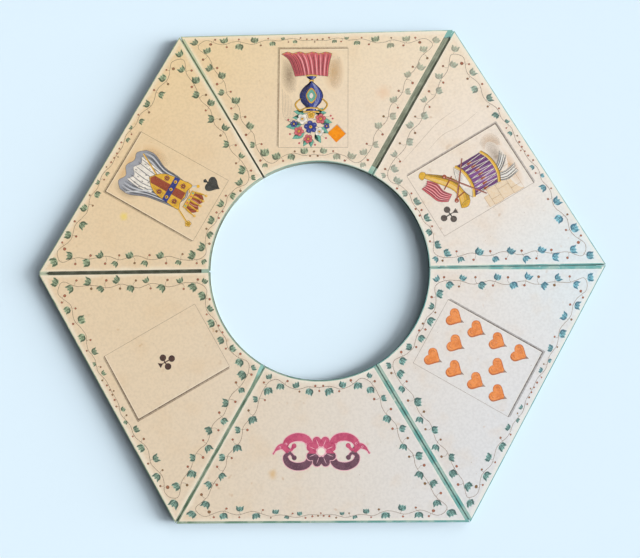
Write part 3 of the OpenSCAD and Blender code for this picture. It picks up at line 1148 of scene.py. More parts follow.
# SUIT MARKS. The diamond, spade and clubs stand in a corner or in the middle of their cards, and
# ten hearts fill the sixth panel's. They are stencilled in thick colour inside an engraved line.
orange_tint = wash("orange_tint", colour(246, 150, 8), colour(224, 118, 4), thin=0.03)
heart_tint = wash("heart_tint", colour(236, 148, 80), colour(206, 104, 46), size=1.4, thin=0.14)
heart_line = wash("heart_line", colour(190, 110, 66), colour(152, 80, 48), thin=0.1)
heart_tip = wash("heart_tip", colour(158, 134, 118), colour(132, 104, 90), thin=0.2)
black_tint = wash("black_tint", colour(72, 72, 68), colour(44, 46, 44), thin=0.06)
club_tint = wash("club_tint", colour(92, 84, 78), colour(66, 58, 54), thin=0.1)
plum_tint = wash("plum_tint", colour(84, 62, 56), colour(56, 40, 38), thin=0.06)


def mirrored(half):
    """A closed outline from its right half, which starts and ends on the middle line."""
    return list(half) + [Vector((-p[0], p[1])) for p in reversed(half) if abs(p[0]) > 1e-6]


def straight(start, end):
    """A path with its middle between its ends."""
    start, end = Vector(start), Vector(end)
    return [start, (start + end) / 2, end]


def club(print_, x, y, lobes, foot, paint, line):
    """Three round lobes and a flared foot, on stems that meet in the middle."""
    for lobe_x, lobe_y in lobes:
        print_.stroke(straight((x, y), (x + lobe_x, y + lobe_y)), 1.0, line, 2, 1, 1)
        print_.disc(x + lobe_x, y + lobe_y, 2.9, paint, 3, rim=0.5, sides=20)
    (left, left_low), (right, right_low) = foot
    waist = 0.45 if left_low > 0 else -0.45
    edge = flow([(x + left, y + left_low), (x - 0.5, y + left_low * 0.45), (x - 0.45, y + waist)], 4)
    edge += flow([(x + 0.45, y + waist), (x + 0.5, y + right_low * 0.45), (x + right, y + right_low)], 4)
    print_.shape(edge, paint, 4)
    print_.disc(x, y, 0.95, line, 5, sides=12)


heart_half = [
    (0, 7.6), (2.2, 4.6), (5.2, 1.8), (7.4, -0.8), (7.5, -3.4),
    (5.8, -5.7), (3.2, -6.2), (1.0, -5.3), (0, -4.2),
]


def heart(print_, x, y):
    """A heart set a little off its engraved line, with a grey tip and a pen stroke in each lobe."""
    outline = mirrored(flow(heart_half))
    print_.shape([(x + p[0] * 1.03 + 0.35, y + p[1] * 1.03 + 0.35) for p in outline], heart_line, 1)
    print_.shape([(x + p[0] * 0.95, y + p[1] * 0.95) for p in outline], heart_tint, 2, rim=0.5)
    print_.shape([(x - 1.2, y + 6.0), (x, y + 9.3), (x + 1.2, y + 6.0)], heart_tip, 3)
    print_.stroke(flow([(x - 3.4, y - 3.9), (x - 4.9, y - 2.4), (x - 4.6, y - 0.4)]), 0.35, heart_line, 3)
    print_.stroke(flow([(x + 3.2, y - 4.2), (x + 4.8, y - 2.9), (x + 4.9, y - 1.0)]), 0.35, heart_line, 3)


marks = {panel: Print(panel, "suit_marks") for panel in cards}
diamond = [(20.6, 130.9), (28.8, 121.9), (19.9, 113.7), (11.6, 122.7)]
marks["queen"].shape([(x + 0.25, y + 0.45) for x, y in diamond], hair_ink, 1)
inside = [(20.2 + (x - 20.2) * 0.95, 122.3 + (y - 122.3) * 0.95) for x, y in diamond]
marks["queen"].shape(inside, orange_tint, 2, rim=0.5)
tip = [Vector(p) for p in ((0, 9.0), (1.9, 7.8), (0.55, 4.9))]
lobe = [
    (0.9, 4.4), (2.6, 4.9), (5.0, 4.6), (6.7, 2.9), (6.9, 0.6),
    (5.3, -2.0), (2.6, -4.6), (0.9, -6.6), (0, -8.2),
]
spade = [p + Vector((19.7, 121.7)) for p in mirrored(tip + flow(lobe))]
marks["king"].shape(spade, black_tint, 2, rim=0.4)
jack_lobes, jack_foot = [(-4.9, -0.2), (5.1, 0.4), (0.1, -6.5)], [(-2.4, 6.8), (2.7, 6.8)]
ace_lobes, ace_foot = [(-4.5, -0.6), (4.4, -0.3), (-0.1, -6.7)], [(-2.6, 5.6), (2.8, 5.9)]
club(marks["jack"], 16.4, 125.6, jack_lobes, jack_foot, club_tint, black_tint)
club(marks["ace"], -0.9, 158.2, ace_lobes, ace_foot, plum_tint, plum_tint)
corner_rows = (122.5, 143.7, 164.5, 185.5)
for x, rows in ((-21.6, corner_rows), (-2.0, (133.8, 174.8)), (17.7, corner_rows)):
    for y in rows:
        heart(marks["ten"], x, y)
for mark in marks.values():
    mark.laid()


# PICTURES ON THE THREE COURT CARDS. Each is engraved in fine line and hatching and coloured by
# hand: flowers in a blue vase, arms under a crown on a grey mantle, and a drum before a wall.
def vignette(name, shade, share):
    """A tone that thins out into the paper at its rim."""
    finish = Finish(name)
    mottle = finish.grain(1.1, 4)
    thick = (1 - finish.mark("rim")) * (finish.between(mottle, 0.3, 0.65) * 0.3 + share)
    paint = finish.mix(paper_tone_and_glare(finish), shade, thick)
    return finish.done(paint, mottle * 0.1 + 0.72, mottle, 0.01)


def tint(name, *rgb):
    """A colour's wash, then the deeper wash for its folds and the paler one for its lights."""
    deep, pale = [c * 0.6 for c in rgb], [c + (252 - c) * 0.45 for c in rgb]
    body = wash(f"{name}_tint", colour(*rgb), colour(*[c * 0.84 for c in rgb]), size=2.4, thin=0.08)
    fold = wash(f"{name}_fold", colour(*deep), colour(*[c * 0.8 for c in deep]), thin=0.1)
    return body, fold, wash(f"{name}_light", colour(*pale), colour(*pale), thin=0.2)


def petals(x, y, radius, count, depth, turn=0.0):
    """A round outline scalloped into this many petals."""
    points, steps = [], 6
    for k in range(count * steps):
        t = 2 * math.pi * k / (count * steps)
        r = radius * (1 - depth + depth * abs(math.sin(count * t / 2)) ** 0.7)
        points.append(Vector((x + r * math.cos(t + turn), y + r * math.sin(t + turn))))
    return points


def ring(points, steps=3):
    """A smooth closed outline through these points."""
    return flow(points, steps, closed=True)


def span(first, last):
    """The outline between two edges that run the same way."""
    return flow(first) + flow(last[::-1])


def joined(*edges, steps=3):
    """A closed outline of smooth edges that meet at corners."""
    return [p for edge in edges for p in flow(edge, steps)[:-1]]


def card_middle(panel):
    left, right, bottom, top = cards[panel]
    return (left + right) / 2, (bottom + top) / 2


ochre_ground = vignette("ochre_ground", colour(206, 158, 96), 0.5)
umber_ground = vignette("umber_ground", colour(118, 92, 66), 0.5)
sand = paper_shade("sand", colour(226, 188, 122), 0.35)
ochre_line = wash("ochre_line", colour(196, 150, 92), colour(168, 122, 72), thin=0.2)
pen_line = wash("pen_line", colour(78, 66, 60), colour(52, 44, 42), thin=0.1)
pale_line = wash("pale_line", colour(150, 132, 116), colour(118, 102, 88), thin=0.3)
rose, blue = tint("rose", 210, 100, 106), tint("blue", 58, 70, 142)
teal, gold = tint("teal", 108, 178, 156), tint("gold", 226, 176, 62)
brown, purple = tint("brown", 162, 80, 56), tint("purple", 130, 78, 142)
grey, white = tint("grey", 160, 162, 168), tint("white", 238, 230, 218)
steel = tint("steel", 206, 206, 204)


def pool(print_, x, y, across, up, finish, layer):
    """A soft round patch of tone."""
    turns = [2 * math.pi * k / 24 for k in range(24)]
    edge = [(x + across * math.cos(t), y + up * math.sin(t)) for t in turns]
    print_.shape(edge, finish, layer, fading=True)


def hatched(print_, outline, slope, pitch, finish=pen_line, layer=5, width=0.16):
    """Pen lines right across a patch, at this slope in degrees."""
    turn = Matrix.Rotation(math.radians(-slope), 2)
    points = [turn @ Vector(p[:2]) for p in outline]
    low, high = min(p.y for p in points), max(p.y for p in points)
    for k in range(int((high - low) / pitch)):
        y = low + (k + 0.5) * pitch
        edges = [(p, q) for p, q in zip(points, points[1:] + points[:1]) if (p.y - y) * (q.y - y) < 0]
        cuts = sorted(p.x + (q.x - p.x) * (y - p.y) / (q.y - p.y) for p, q in edges)
        for a, b in zip(cuts[::2], cuts[1::2]):
            if b - a > 1.0:
                line = [turn.inverted() @ Vector((x, y)) for x in (a + 0.15, (a + b) / 2, b - 0.15)]
                print_.stroke(line, width, finish, layer)


def drawn(print_, outline, paints, layer=3, line=0.3):
    """A coloured patch with a pen line round it."""
    print_.shape(outline, paints[0], layer)
    print_.stroke(outline, line, pen_line, layer + 1, closed=True)


def modelled(print_, first, last, paints, layer, folds, lights, width=0.5):
    """Folds and lights drawn between two edges of a patch, at these shares of the way across."""
    for shares, paint, wide in ((folds, paints[1], width), (lights, paints[2], width * 0.9)):
        for share in shares:
            path = [Vector(a).lerp(Vector(b), share) for a, b in zip(first, last)]
            print_.stroke(flow(path), wide, paint, layer, 0.3, 0.2)


def blossom(print_, x, y, radius, paints, turn, layer=6):
    """Five petals, each with a deep throat and a light rim, round a gold eye."""
    drawn(print_, petals(x, y, radius, 5, 0.3, turn), paints, layer, 0.18)
    middle = Vector((x, y))
    for k in range(15):
        t = turn + 2 * math.pi * (k / 15 + 1 / 30)
        way = Vector((math.cos(t), math.sin(t))) * radius
        throat = [middle + way * share for share in (0.25, 0.4, 0.62)]
        print_.stroke(throat, 0.3, paints[1], layer + 2, 1, 0.2)
        if k % 3 == 1:
            rim = [middle + way * share for share in (0.55, 0.7, 0.86)]
            print_.stroke(rim, 0.45, paints[2], layer + 2, 0.3, 0.3)
    print_.disc(x, y, radius * 0.24, gold[0], layer + 3, sides=10)
    print_.disc(x + radius * 0.06, y - radius * 0.06, radius * 0.1, gold[1], layer + 4, sides=8)


def spray(print_, root, tip, paints):
    """A pointed leaf on a short stalk, with its veins and one half in shade."""
    root, tip = Vector(root), Vector(tip)
    aside = Vector((root.y - tip.y, tip.x - root.x)) * 0.2
    start = root.lerp(tip, 0.25)
    belly = root.lerp(tip, 0.55)
    near, far = flow([start, belly + aside, tip]), flow([tip, belly - aside, start])
    print_.stroke(straight(root, start), 0.4, paints[1], 3, 1, 1)
    print_.shape(near[:-1] + far[:-1], paints[0], 3)
    print_.shape([start.lerp(tip, 0.02), *far[1:-1], start.lerp(tip, 0.6)][::-1], paints[1], 4)
    print_.stroke(near[:-1] + far[:-1], 0.16, pen_line, 5, closed=True)
    side_vein = ((0.0, 0.0), (0.06, 0.25), (0.1, 0.5))
    for share in (0.35, 0.55, 0.75):
        vein = [start.lerp(tip, share + on) + aside * out for on, out in side_vein]
        print_.stroke(vein, 0.2, paints[2], 5)


# A blue vase of flowers stands on a rose cloth that hangs in folds.
flowers = Print("queen", "vase_picture", card_middle("queen"))
pool(flowers, -18, -24, 11, 20, ochre_ground, 1)
pool(flowers, 2, -40, 28, 6.0, ochre_ground, 2)
pool(flowers, 22, -22, 8.5, 19, umber_ground, 3)
shaded_side = ring([(15, -10), (22, -4), (28, -12), (29, -26), (28, -37), (20, -30)])
hatched(flowers, shaded_side, 52, 0.75, pale_line, 4)
hatched(flowers, ring([(-26, -14), (-20, -8), (-14, -16), (-14, -36), (-24, -38)]), 128, 0.75, pale_line, 4)
for k in range(11):
    bend = Vector((12 + k * 1.4, 25 - k * 0.5))
    flowers.stroke(flow([(6, 20), bend, (15 + k * 1.3, 13 - k * 2.9)], 4), 0.2, pale_line, 2)
hem_left = [(-13, -20), (-13.4, -27), (-14.6, -34), (-16.5, -41.4)]
hem_right = [(17, -20), (19, -27), (23, -36), (29.5, -41.2)]
hem = [
    (29.5, -41.2), (24, -43.2), (19, -41.8), (13, -43.4), (7, -41.7),
    (1, -43.2), (-5, -41.6), (-11, -43), (-16.5, -41.4),
]
drape = joined([(-13, -20), (2, -21.4), (17, -20)], hem_right, hem, hem_left[::-1])
drawn(flowers, drape, rose, 4, 0.28)
folds = (0.06, 0.16, 0.27, 0.38, 0.5, 0.62, 0.73, 0.84, 0.93)
modelled(flowers, hem_left, hem_right, rose, 6, folds, (0.11, 0.22, 0.33, 0.45, 0.57, 0.68), 0.85)
folds = (0.19, 0.41, 0.65, 0.78, 0.8, 0.88, 0.9, 0.96, 0.98)
modelled(flowers, hem_left, hem_right, rose, 7, folds, (), 0.35)
hem = flow(hem)
for a, b in zip(hem[1::2], hem[2::2]):
    trim = [a + Vector((0, 0.9)), (a + b) / 2 + Vector((0, 0.5)), b + Vector((0, 0.9))]
    flowers.stroke(trim, 0.5, gold[0], 8, 1, 1)
profile = [
    (4.5, -21.3), (4, -19), (1.2, -16.8), (2.0, -14), (7.5, -9),
    (10.6, -2.5), (8.8, 4), (4.8, 8.6), (4.4, 11.4), (7, 13.8),
]
vase_left, vase_right = ([(2 + side * x, y) for x, y in profile] for side in (-1, 1))
drawn(flowers, span(vase_right, vase_left), blue, 8, 0.3)
folds, lights = (0.03, 0.66, 0.72, 0.78, 0.83, 0.88, 0.92, 0.96), (0.16, 0.22, 0.29)
modelled(flowers, vase_left, vase_right, blue, 10, folds, lights, 0.6)
hatched(flowers, ring([(5, 8), (10, 3), (12, -2.5), (9, -8.6), (4, -13)]), 62, 0.7, pen_line, 11, 0.14)
band_lines = [(0.0, 1.5, gold[0], 11), (-0.5, 0.35, gold[1], 12), (0.35, 0.3, gold[2], 12)]
for y, reach in ((-20.6, 5.2), (-15.8, 2.2), (9.8, 4.8), (13.2, 7.2)):
    for drop, wide, paint, layer in band_lines:
        band = [(2 - reach, y + drop), (2, y + drop - 0.6), (2 + reach, y + drop)]
        flowers.stroke(band, wide, paint, layer, 1, 1)
for reach, paints, layer in ((1.0, gold, 11), (0.8, teal, 13), (0.38, white, 15)):
    lozenge = [(2, -2 + 7.4 * reach), (2 + 5 * reach, -2), (2, -2 - 7.4 * reach), (2 - 5 * reach, -2)]
    drawn(flowers, ring(lozenge, 4), paints, layer, 0.16)
for side in (-1, 1):
    handle = flow([(2 + side * x, y) for x, y in ((4.6, 9), (10.5, 11.6), (14.4, 6), (9.4, 0.5))], 5)
    flowers.stroke(handle, 1.5, gold[1], 9, 0.7, 0.7)
    flowers.stroke([p + Vector((-0.15, 0.15)) for p in handle], 0.9, gold[0], 10, 0.7, 0.7)
leaf_ends = [
    (2, 14, -12, 14), (4, 15, 18, 12.5), (6, 24, 25, 27), (4, 30, 19, 38), (0, 30, -7, 42),
    (2, 32, 9, 45), (0, 20, -17, 23), (-2, 26, -14, 33), (6, 18, 19, 18.5), (2, 34, 2, 46),
    (-1, 16, -9, 9.5)
]
for ends in leaf_ends:
    spray(flowers, ends[:2], ends[2:], teal)
blossoms = [
    (-6.5, 19.5, 4.9, rose, 0.2), (10.0, 19.6, 5.0, white, 0.9), (13.0, 31, 4.6, rose, 1.2),
    (-5.4, 31.4, 4.3, white, 0.1), (17.6, 24.2, 3.3, blue, 0.4), (2.0, 16.0, 3.5, gold, 0.3),
    (4.6, 38.0, 4.2, rose, 0.7), (-12.0, 26.4, 2.8, blue, 0.8), (2.4, 27.0, 6.0, blue, 0.5)
]
for k, (x, y, radius, paints, turn) in enumerate(blossoms):
    blossom(flowers, x, y, radius, paints, turn, 6 + k % 3 * 5)
buds = [(-17.4, 19.4), (-15.6, 16.8), (22.6, 20.4), (21.0, 33.6), (-1.6, 43.6), (12.6, 42.0), (-11.4, 37.4)]
for x, y in buds:
    flowers.stroke([(x * 0.6 + 1, y * 0.8 + 4), (x * 0.8, y * 0.9 + 2.6), (x, y)], 0.2, teal[1], 4)
    flowers.disc(x, y, 0.95, rose[0], 6, sides=10)
    flowers.disc(x + 0.2, y - 0.2, 0.4, rose[1], 7, sides=8)
flowers.laid()

# A gold shield lies over a staff and a sword, on a grey mantle and under a crown.
arms = Print("king", "arms_picture", card_middle("king"))
pool(arms, -17, -26, 11, 17, ochre_ground, 1)
pool(arms, 3, -40, 26, 5.6, ochre_ground, 2)
pool(arms, 21, -30, 8, 14, umber_ground, 3)
hatched(arms, ring([(-24, -16), (-18, -8), (-13, -16), (-12, -34), (-21, -34)]), 128, 0.8, pale_line, 3)
cloak_left = [(-10, 15), (-12.5, 4), (-13.5, -10), (-19.5, -24), (-19, -33)]
cloak_right = [(14, 14), (15.5, 2), (18, -12), (23.5, -26), (23, -36)]
cloak_hem = [(23, -36), (17, -41), (10, -37.5), (2, -42), (-6, -38), (-13, -39.6), (-19, -33)]
cloak = joined([(-10, 15), (0, 21), (14, 14)], cloak_right, cloak_hem, cloak_left[::-1], steps=4)
drawn(arms, cloak, grey, 4, 0.3)
folds, lights = (0.04, 0.12, 0.22, 0.8, 0.88, 0.95), (0.08, 0.17, 0.84, 0.91)
modelled(arms, cloak_left, cloak_right, grey, 6, folds, lights, 0.9)
modelled(arms, cloak_left, cloak_right, grey, 7, (0.02, 0.1, 0.14, 0.25, 0.78, 0.86, 0.93, 0.98), (), 0.35)
inner_left, inner_right = [(-8, -8), (-10, -20), (-12, -34)], [(12, -9), (14, -22), (12, -35)]
inner_hem = [(12, -35), (6, -31), (0, -35.5), (-6, -31), (-12, -34)]
inner = joined([(-8, -8), (3, -12), (12, -9)], inner_right, inner_hem, inner_left[::-1])
drawn(arms, inner, white, 8, 0.24)
modelled(arms, inner_left, inner_right, steel, 10, (0.08, 0.24, 0.42, 0.6, 0.78, 0.92), (), 0.7)
for row, y in enumerate((-15, -20.5, -26, -31)):
    for x in (-7.5, -1.0, 5.5, 11.0):
        aside = x + row % 2 * 1.8
        arms.stroke([(aside, y), (aside + 0.1, y - 1), (aside, y - 2)], 0.55, pen_line, 11, 0.4, 1)
for start, end, wide, paints in (((-15, -34), (20, 33), 1.7, gold), ((23, -30), (-13, 24), 1.6, steel)):
    start, end = Vector(start), Vector(end)
    across = Vector((start.y - end.y, end.x - start.x)).normalized()
    for shift, width, paint, layer in ((0.0, wide, 0, 12), (0.45, 0.3, 1, 13), (-0.4, 0.3, 2, 13)):
        rod = straight(start + across * shift, end + across * shift)
        arms.stroke(rod, width, paints[paint], layer, 0.8, 0.9)
arms.stroke([(-12.6, 14.6), (-8.4, 18.2), (-4.6, 21.4)], 1.2, gold[0], 14, 0.8, 0.8)
arms.stroke([(-12.2, 14.2), (-8.0, 17.8), (-4.2, 21.0)], 0.3, gold[1], 15, 0.8, 0.8)
blossom(arms, 20.3, 34.2, 3.0, gold, 0.3, 14)
arms.disc(-13.4, 24.8, 1.5, gold[0], 14, sides=12)
edge = [(0, 19.5), (6, 18.2), (12.6, 19.6), (12, 8), (10.4, -5), (6, -13), (0, -18)]
escutcheon = [p + Vector((1.0, 0)) for p in mirrored(flow(edge, 4))]
drawn(arms, escutcheon, gold, 16, 0.34)
drawn(arms, [(-2.6, 18.0), (4.6, 18.0), (4.6, -14.4), (1.0, -16.8), (-2.6, -14.4)], brown, 18, 0.2)
hatched(arms, [(-2.4, 17.8), (4.4, 17.8), (4.4, -14), (-2.4, -14)], 90, 0.7, brown[1], 20, 0.22)
drawn(arms, [(-11.0, 7.4), (13.0, 7.4), (12.7, 2.4), (-10.7, 2.4)], blue, 21, 0.2)
hatched(arms, [(-10.8, 7.2), (12.8, 7.2), (12.5, 2.6), (-10.5, 2.6)], 0, 0.6, blue[1], 23, 0.18)
for x, y in ((-6.8, 13.0), (8.8, 13.0), (-6.0, -3.6), (8.0, -3.6)):
    blossom(arms, x, y, 2.5, brown, 0.3, 18)
for x in (-6.8, 1.0, 8.8):
    arms.disc(x, 4.9, 1.5, gold[0], 24, sides=14)
    arms.disc(x + 0.2, 4.7, 0.8, gold[1], 25, sides=10)
hatched(arms, [(6.8, 17), (12.6, 18), (12, 8.4), (9, 8.4)], 60, 0.7, gold[1], 18, 0.2)
hatched(arms, [(6.5, 1.6), (12, 1.6), (10.4, -5), (6, -12.4), (5, -12)], 60, 0.7, gold[1], 18, 0.2)
cap = flow([(-7, 24), (-8.5, 31), (-4, 36), (1, 33.5), (6, 36), (10.5, 31), (9, 24)])
drawn(arms, cap, brown, 16, 0.22)
cap_left, cap_right = [(-7, 25), (-8, 30), (-4, 35)], [(9, 25), (10, 30), (6, 35)]
modelled(arms, cap_left, cap_right, brown, 18, (0.1, 0.3, 0.55, 0.75, 0.9), (0.2, 0.42, 0.65), 0.5)
for x, lean in ((-7.4, -2.0), (-3.2, -0.8), (1.0, 0), (5.2, 0.8), (9.4, 2.0)):
    arms.stroke([(x, 25.4), (x + lean * 0.6, 30), (x + lean, 34.6)], 1.7, gold[0], 20, 1, 0.4)
    arms.stroke([(x + 0.5, 25.4), (x + lean * 0.6 + 0.4, 30), (x + lean + 0.2, 34)], 0.3, gold[1], 21, 1, 0.4)
    arms.disc(x + lean, 35.6, 1.2, gold[0], 22, sides=12)
    arms.disc(x + lean - 0.25, 35.9, 0.45, gold[2], 23, sides=8)
drawn(arms, [(-7.6, 22.2), (9.6, 22.2), (9.9, 25.6), (-7.9, 25.6)], gold, 21, 0.24)
for k, x in enumerate((-5.6, -2.3, 1.0, 4.3, 7.6)):
    arms.disc(x, 23.9, 0.85, (teal, rose)[k % 2][0], 24, sides=10)
arms.laid()

# A drum with its sticks stands before a sand-coloured wall, with a gold horn and its flag above.
drum = Print("jack", "drum_picture", card_middle("jack"))
pool(drum, 16, -33, 14, 10, ochre_ground, 1)
pool(drum, -8, -37, 22, 7, ochre_ground, 2)
pool(drum, 6, -31, 15, 7.5, umber_ground, 3)
for row, (low, height) in enumerate(((-37, 10), (-27, 11), (-16, 9), (-7, 5))):
    for x in (-35 + row % 2 * 5, -25 + row % 2 * 5, -15 + row % 2 * 5):
        near, far, high = max(x, -30.5), x + 10, low + height
        block = [(near, low), (far, low), (far, high), (near, high)]
        if row < 3 or x < -20:
            drum.shape(block, sand, 1)
            drum.stroke(block, 0.32, ochre_line, 4, closed=True)
hatched(drum, ring([(10, -30), (20, -24), (27, -28), (26, -40), (14, -41)]), 160, 0.75, pale_line, 5)
horn_low = [(-15, 9.4), (-6, 6.8), (5, 10), (15, 18), (25.4, 31.6)]
horn_high = [(-17.4, 20), (-6, 16.6), (3, 19.6), (12, 26.4), (22.6, 34.4)]
drawn(drum, span(horn_low, horn_high), gold, 4, 0.24)
modelled(drum, horn_low, horn_high, gold, 6, (0.06, 0.14, 0.22, 0.3), (0.62, 0.72, 0.82), 0.5)
shaded_side = ring([(-12, 9.6), (-4, 7.6), (6, 11.6), (16, 19.6), (14, 21.4), (4, 14), (-6, 10.4)])
hatched(drum, shaded_side, 70, 0.7, pen_line, 7, 0.14)
drawn(drum, ring([(-15, 9.4), (-19.4, 14), (-17.4, 20), (-14.2, 15.4)], 4), gold, 7, 0.24)
hatched(drum, ring([(-15.4, 10.6), (-18, 14), (-17, 18.6), (-15, 15)]), 30, 0.6, gold[1], 9)
drawn(drum, ring([(21.4, 36.4), (25.4, 37.6), (28.2, 34), (25.8, 30.6), (22.6, 33)], 4), gold, 7, 0.2)
for x, y, lean in ((-7.4, 14.4, 0.9), (7.6, 18.2, 3.4)):
    drum.stroke([(x - lean, y + 6), (x, y), (x + lean, y - 6)], 1.1, brown[0], 9, 1, 1)
    drum.stroke([(x - lean + 0.4, y + 6), (x + 0.4, y), (x + lean + 0.4, y - 6)], 0.25, brown[1], 10, 1, 1)
flag_low = [(-3, 20.5), (4, 25.6), (12, 26.6), (19, 33)]
flag_high = [(-7, 27), (-2, 34.4), (6, 37.6), (15, 41)]
flag = flow(flag_low) + flow([(19, 33), (15.6, 35.6), (15, 41)])[1:-1] + flow(flag_high[::-1])
drawn(drum, flag, rose, 10, 0.24)
modelled(drum, flag_low, flag_high, rose, 12, (0.1, 0.3, 0.5, 0.7, 0.86), (0.2, 0.4, 0.6, 0.78), 0.7)
shell_top = [(-14.5, 6), (-8, 2.6), (1, 1.4), (10, 2.6), (16.5, 6)]
shell_foot = [(x, y - 26) for x, y in shell_top]
drawn(drum, span(shell_top, shell_foot), purple, 10, 0.3)
shades, lights = (0.04, 0.08, 0.62, 0.68, 0.74, 0.8, 0.85, 0.9, 0.94, 0.97), (0.2, 0.27, 0.34)
for shares, wide, paint in ((shades, 0.7, purple[1]), (lights, 0.6, purple[2])):
    for share in shares:
        x, sag = -14.5 + 31 * share, 4.6 * (1 - (share * 2 - 1) ** 2)
        drum.stroke(straight((x, 6 - sag), (x, -20 - sag)), wide, paint, 12, 1, 1)
head = ring([(-14.5, 6), (-8, 9.4), (1, 10.6), (10, 9.4), (16.5, 6), (10, 2.6), (1, 1.4), (-8, 2.6)])
drawn(drum, head, white, 13, 0.26)
hatched(drum, ring([(4, 9.4), (13, 8), (15, 6), (9, 3.6), (3, 5.4)]), 12, 0.6, steel[1], 15)
for k in range(7):
    x = -13.4 + k * 4.4
    sag = 4.6 * (1 - ((x + 1.1) / 16) ** 2)
    for foot in (x - 2.2, x + 2.2):
        rope = [(x, 3.4 - sag), ((x + foot) / 2, -8.6 - sag), (foot, -20 - sag)]
        drum.stroke(rope, 0.75, pen_line, 13, 1, 1)
        drum.stroke(rope, 0.5, white[0], 14, 1, 1)
    high, low = -4 - sag, -8.5 - sag
    drum.shape([(x - 1.0, high), (x + 1.0, high), (x + 0.7, low), (x - 0.7, low)], brown[0], 15)
hoop_lines = [
    (-0.9, 3.0, gold[0], 16), (-2.1, 0.4, gold[1], 17), (0.1, 0.5, gold[2], 17),
    (-2.5, 0.2, pen_line, 18), (0.6, 0.2, pen_line, 18)
]
for low, high in ((1.4, 6), (-24.6, -20)):
    hoop = flow([(-15, high), (-8, low + 1.2), (1, low), (10, low + 1.2), (17, high)], 4)
    for shift, wide, paint, layer in hoop_lines:
        drum.stroke([p + Vector((0, shift)) for p in hoop], wide, paint, layer, 1, 1)
stick_lines = [(0.0, 1.5, brown[0], 19), (-0.4, 0.4, brown[1], 20), (0.35, 0.35, brown[2], 20)]
for start, end in (((-18, -6), (14, 18)), ((20, -4), (-10, 20))):
    for shift, wide, paint, layer in stick_lines:
        stick = [p + Vector((0, shift)) for p in straight(start, end)]
        drum.stroke(stick, wide, paint, layer, 0.7, 0.9)
    drum.disc(*end, 1.9, brown[0], 21)
    drum.disc(end[0] - 0.5, end[1] + 0.5, 0.7, brown[2], 22, sides=10)
tails = [
    ([(-13, -20), (-17, -29), (-15, -41)], [(-7, -22), (-9, -31), (-7, -42)]),
    ([(-9, -22), (-5, -31), (2, -39)], [(-3, -23), (2, -30), (9, -36)]),
]
for tail_left, tail_right in tails:
    notch = (Vector(tail_left[-1]) + Vector(tail_right[-1])) / 2 + Vector((-0.5, 2.4))
    drawn(drum, flow(tail_left) + [notch] + flow(tail_right[::-1]), white, 6, 0.26)
    modelled(drum, tail_left, tail_right, steel, 8, (0.12, 0.35, 0.7, 0.88), (0.5,), 0.6)
    modelled(drum, tail_left, tail_right, grey, 9, (0.06, 0.3, 0.62, 0.92), (), 0.3)
drum.laid()


# TITLE ORNAMENT. The panel without a card has a crimson ornament in its middle: a rosette between
# leafy scrolls, with their lower halves in shade, all within a pale pink outline.
crimson = wash("crimson_tint", colour(200, 88, 120), colour(164, 48, 84), size=2.4, thin=0.08)
shaded_plum = wash("shaded_plum", colour(112, 76, 92), colour(76, 50, 64), size=2.4, thin=0.08)
pale_pink = paper_shade("pale_pink", colour(232, 150, 176), 0.55)
spiral_line = wash("spiral_line", colour(240, 196, 206), colour(226, 160, 180), thin=0.2)


def scroll(print_, path, wide, narrow, paint, layer):
    """A thick curl that swells after its start and narrows to its end, on a pale pink outline."""
    path = flow(path, 5)
    for extra, finish, rise in ((1.3, pale_pink, 0), (0.0, paint, layer)):
        sides = [], []
        for i, p in enumerate(path):
            lean = (path[min(i + 1, len(path) - 1)] - path[max(i - 1, 0)]).normalized()
            t = i / (len(path) - 1)
            half = (narrow + (wide - narrow) * math.sin(math.pi * min(1, t + 0.22)) ** 0.8 + extra) / 2
            aside = Vector((-lean.y, lean.x)) * half
            sides[0].append(p + aside)
            sides[1].append(p - aside)
        print_.block(sides, finish, 1 + rise)


ornament = Print("title", "title_ornament", (-1.0, 156.8))
curl = [(8, 2.5), (12.5, 10.5), (21, 12.4), (28.5, 9.4), (30.6, 3.8), (26.4, 1.4), (23.6, 4.6)]
for side in (-1, 1):
    scroll(ornament, [(side * x, -y) for x, y in curl], 6.4, 2.2, shaded_plum, 1)
    tail = [(side * 28, 0), (side * 33, 4.6), (side * 38, 2.6), (side * 41.5, -2)]
    scroll(ornament, tail, 4.6, 1.0, crimson, 2)
    scroll(ornament, [(side * x, y) for x, y in curl], 6.6, 2.2, crimson, 3)
    for y, finish in ((5.0, crimson), (-5.0, shaded_plum)):
        ornament.disc(side * 23.2, y, 2.1, finish, 6, rim=0.5)
    for x, y in ((13, 6), (17, 8), (30, 6.5), (35.4, 3.6)):
        spiral = []
        for angle in (k * 0.8 for k in range(9)):
            radius = 1.2 * (1 - angle / 9)
            spiral.append((side * (x + radius * math.cos(angle)), y + radius * math.sin(angle)))
        ornament.stroke(spiral, 0.35, spiral_line, 7)
ornament.shape(petals(0, 0, 14.0, 8, 0.22), pale_pink, 3)
ornament.shape(petals(0, 0, 13.2, 8, 0.24), crimson, 6, rim=0.8)
ornament.shape([p for p in petals(0, 0, 13.2, 8, 0.24) if p.y < -1.5], shaded_plum, 8)
for k in range(8):
    way = Vector((math.cos(math.radians(22.5 + 45 * k)), math.sin(math.radians(22.5 + 45 * k))))
    ornament.stroke(straight(way * 5, way * 11), 0.5, spiral_line, 9)
ornament.shape(petals(0, 0, 4.8, 8, 0.2), pale_pink, 10)
ornament.disc(0, 0, 3.2, card_light, 11, rim=0.5)
ornament.laid()


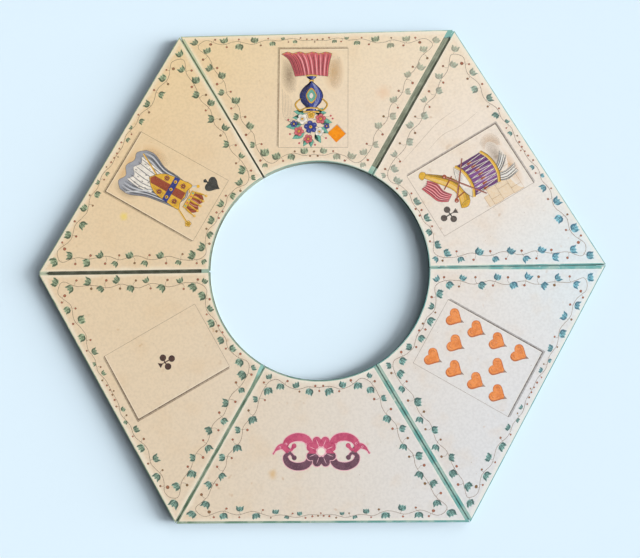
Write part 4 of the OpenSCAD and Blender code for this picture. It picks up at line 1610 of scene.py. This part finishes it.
# CAMERA, FLOOR AND LIGHT. The board lies on a pale blue sheet, seen from almost straight above. A
# broad window with pale curtains stands low at the right. A wall and the room give the other light.
camera = added("camera", bpy.data.cameras.new("camera"))
camera.data.lens, camera.data.sensor_width = 36.0, 36.0
camera.location = (0.0159, -0.0620, 0.5658)
pitch, roll, heading = (math.radians(angle) for angle in (5.42, 1.61, -0.72))
camera.rotation_euler = (pitch, roll, heading)
camera.data.clip_start, camera.data.clip_end = 0.01, 30.0
bpy.context.scene.camera = camera

pale_blue, half_floor = colour(224, 243, 255), 5
sheet = Finish("pale_floor")
sheet.done(pale_blue, 0.95, gloss=0.0)
floor_mesh = bpy.data.meshes.new("floor")
corners = [(x * half_floor, y * half_floor, 0) for x, y in ((-1, -1), (1, -1), (1, 1), (-1, 1))]
floor_mesh.from_pydata(corners, [], [(0, 1, 2, 3)])
floor_mesh.materials.append(sheet.material)
floor = added("floor", floor_mesh)


def lamp(name, azimuth, elevation, spread, strength):
    """A lamp far away in this direction, as wide as its spread. All angles are in degrees."""
    made = added(name, bpy.data.lights.new(name, "SUN"))
    made.data.energy, made.data.angle = strength, math.radians(spread)
    turn, rise = math.radians(azimuth), math.radians(elevation)
    toward = Vector((math.cos(rise) * math.cos(turn), math.cos(rise) * math.sin(turn), math.sin(rise)))
    made.rotation_euler = toward.to_track_quat("Z", "Y").to_euler()


lamp("window", 0.4, 12.4, 26.4, 6.82)
lamp("curtain", -11.7, 11.8, 64, 4.01)
lamp("wall", 51, 25, 27, 0.87)

# The room's own light is dim and white, but the camera sees the floor's pale blue beyond the floor.
world = bpy.data.worlds.new("room")
bpy.context.scene.world = world
world.use_nodes = True
room = Tree(world.node_tree)
dim = world.node_tree.nodes["Background"]
dim.inputs["Color"].default_value = (1, 1, 1, 1)
dim.inputs["Strength"].default_value = 0.108
beyond = room.node("ShaderNodeBackground", {}, {"Color": pale_blue, "Strength": 1.0})
seen = room.node("ShaderNodeLightPath", out="Is Camera Ray")
around = room.node("ShaderNodeMixShader", {}, {0: seen, 1: Wire(room, dim.outputs[0]), 2: beyond})
room.feed(world.node_tree.nodes["World Output"].inputs["Surface"], around)
bpy.context.scene.view_settings.view_transform = "Standard"
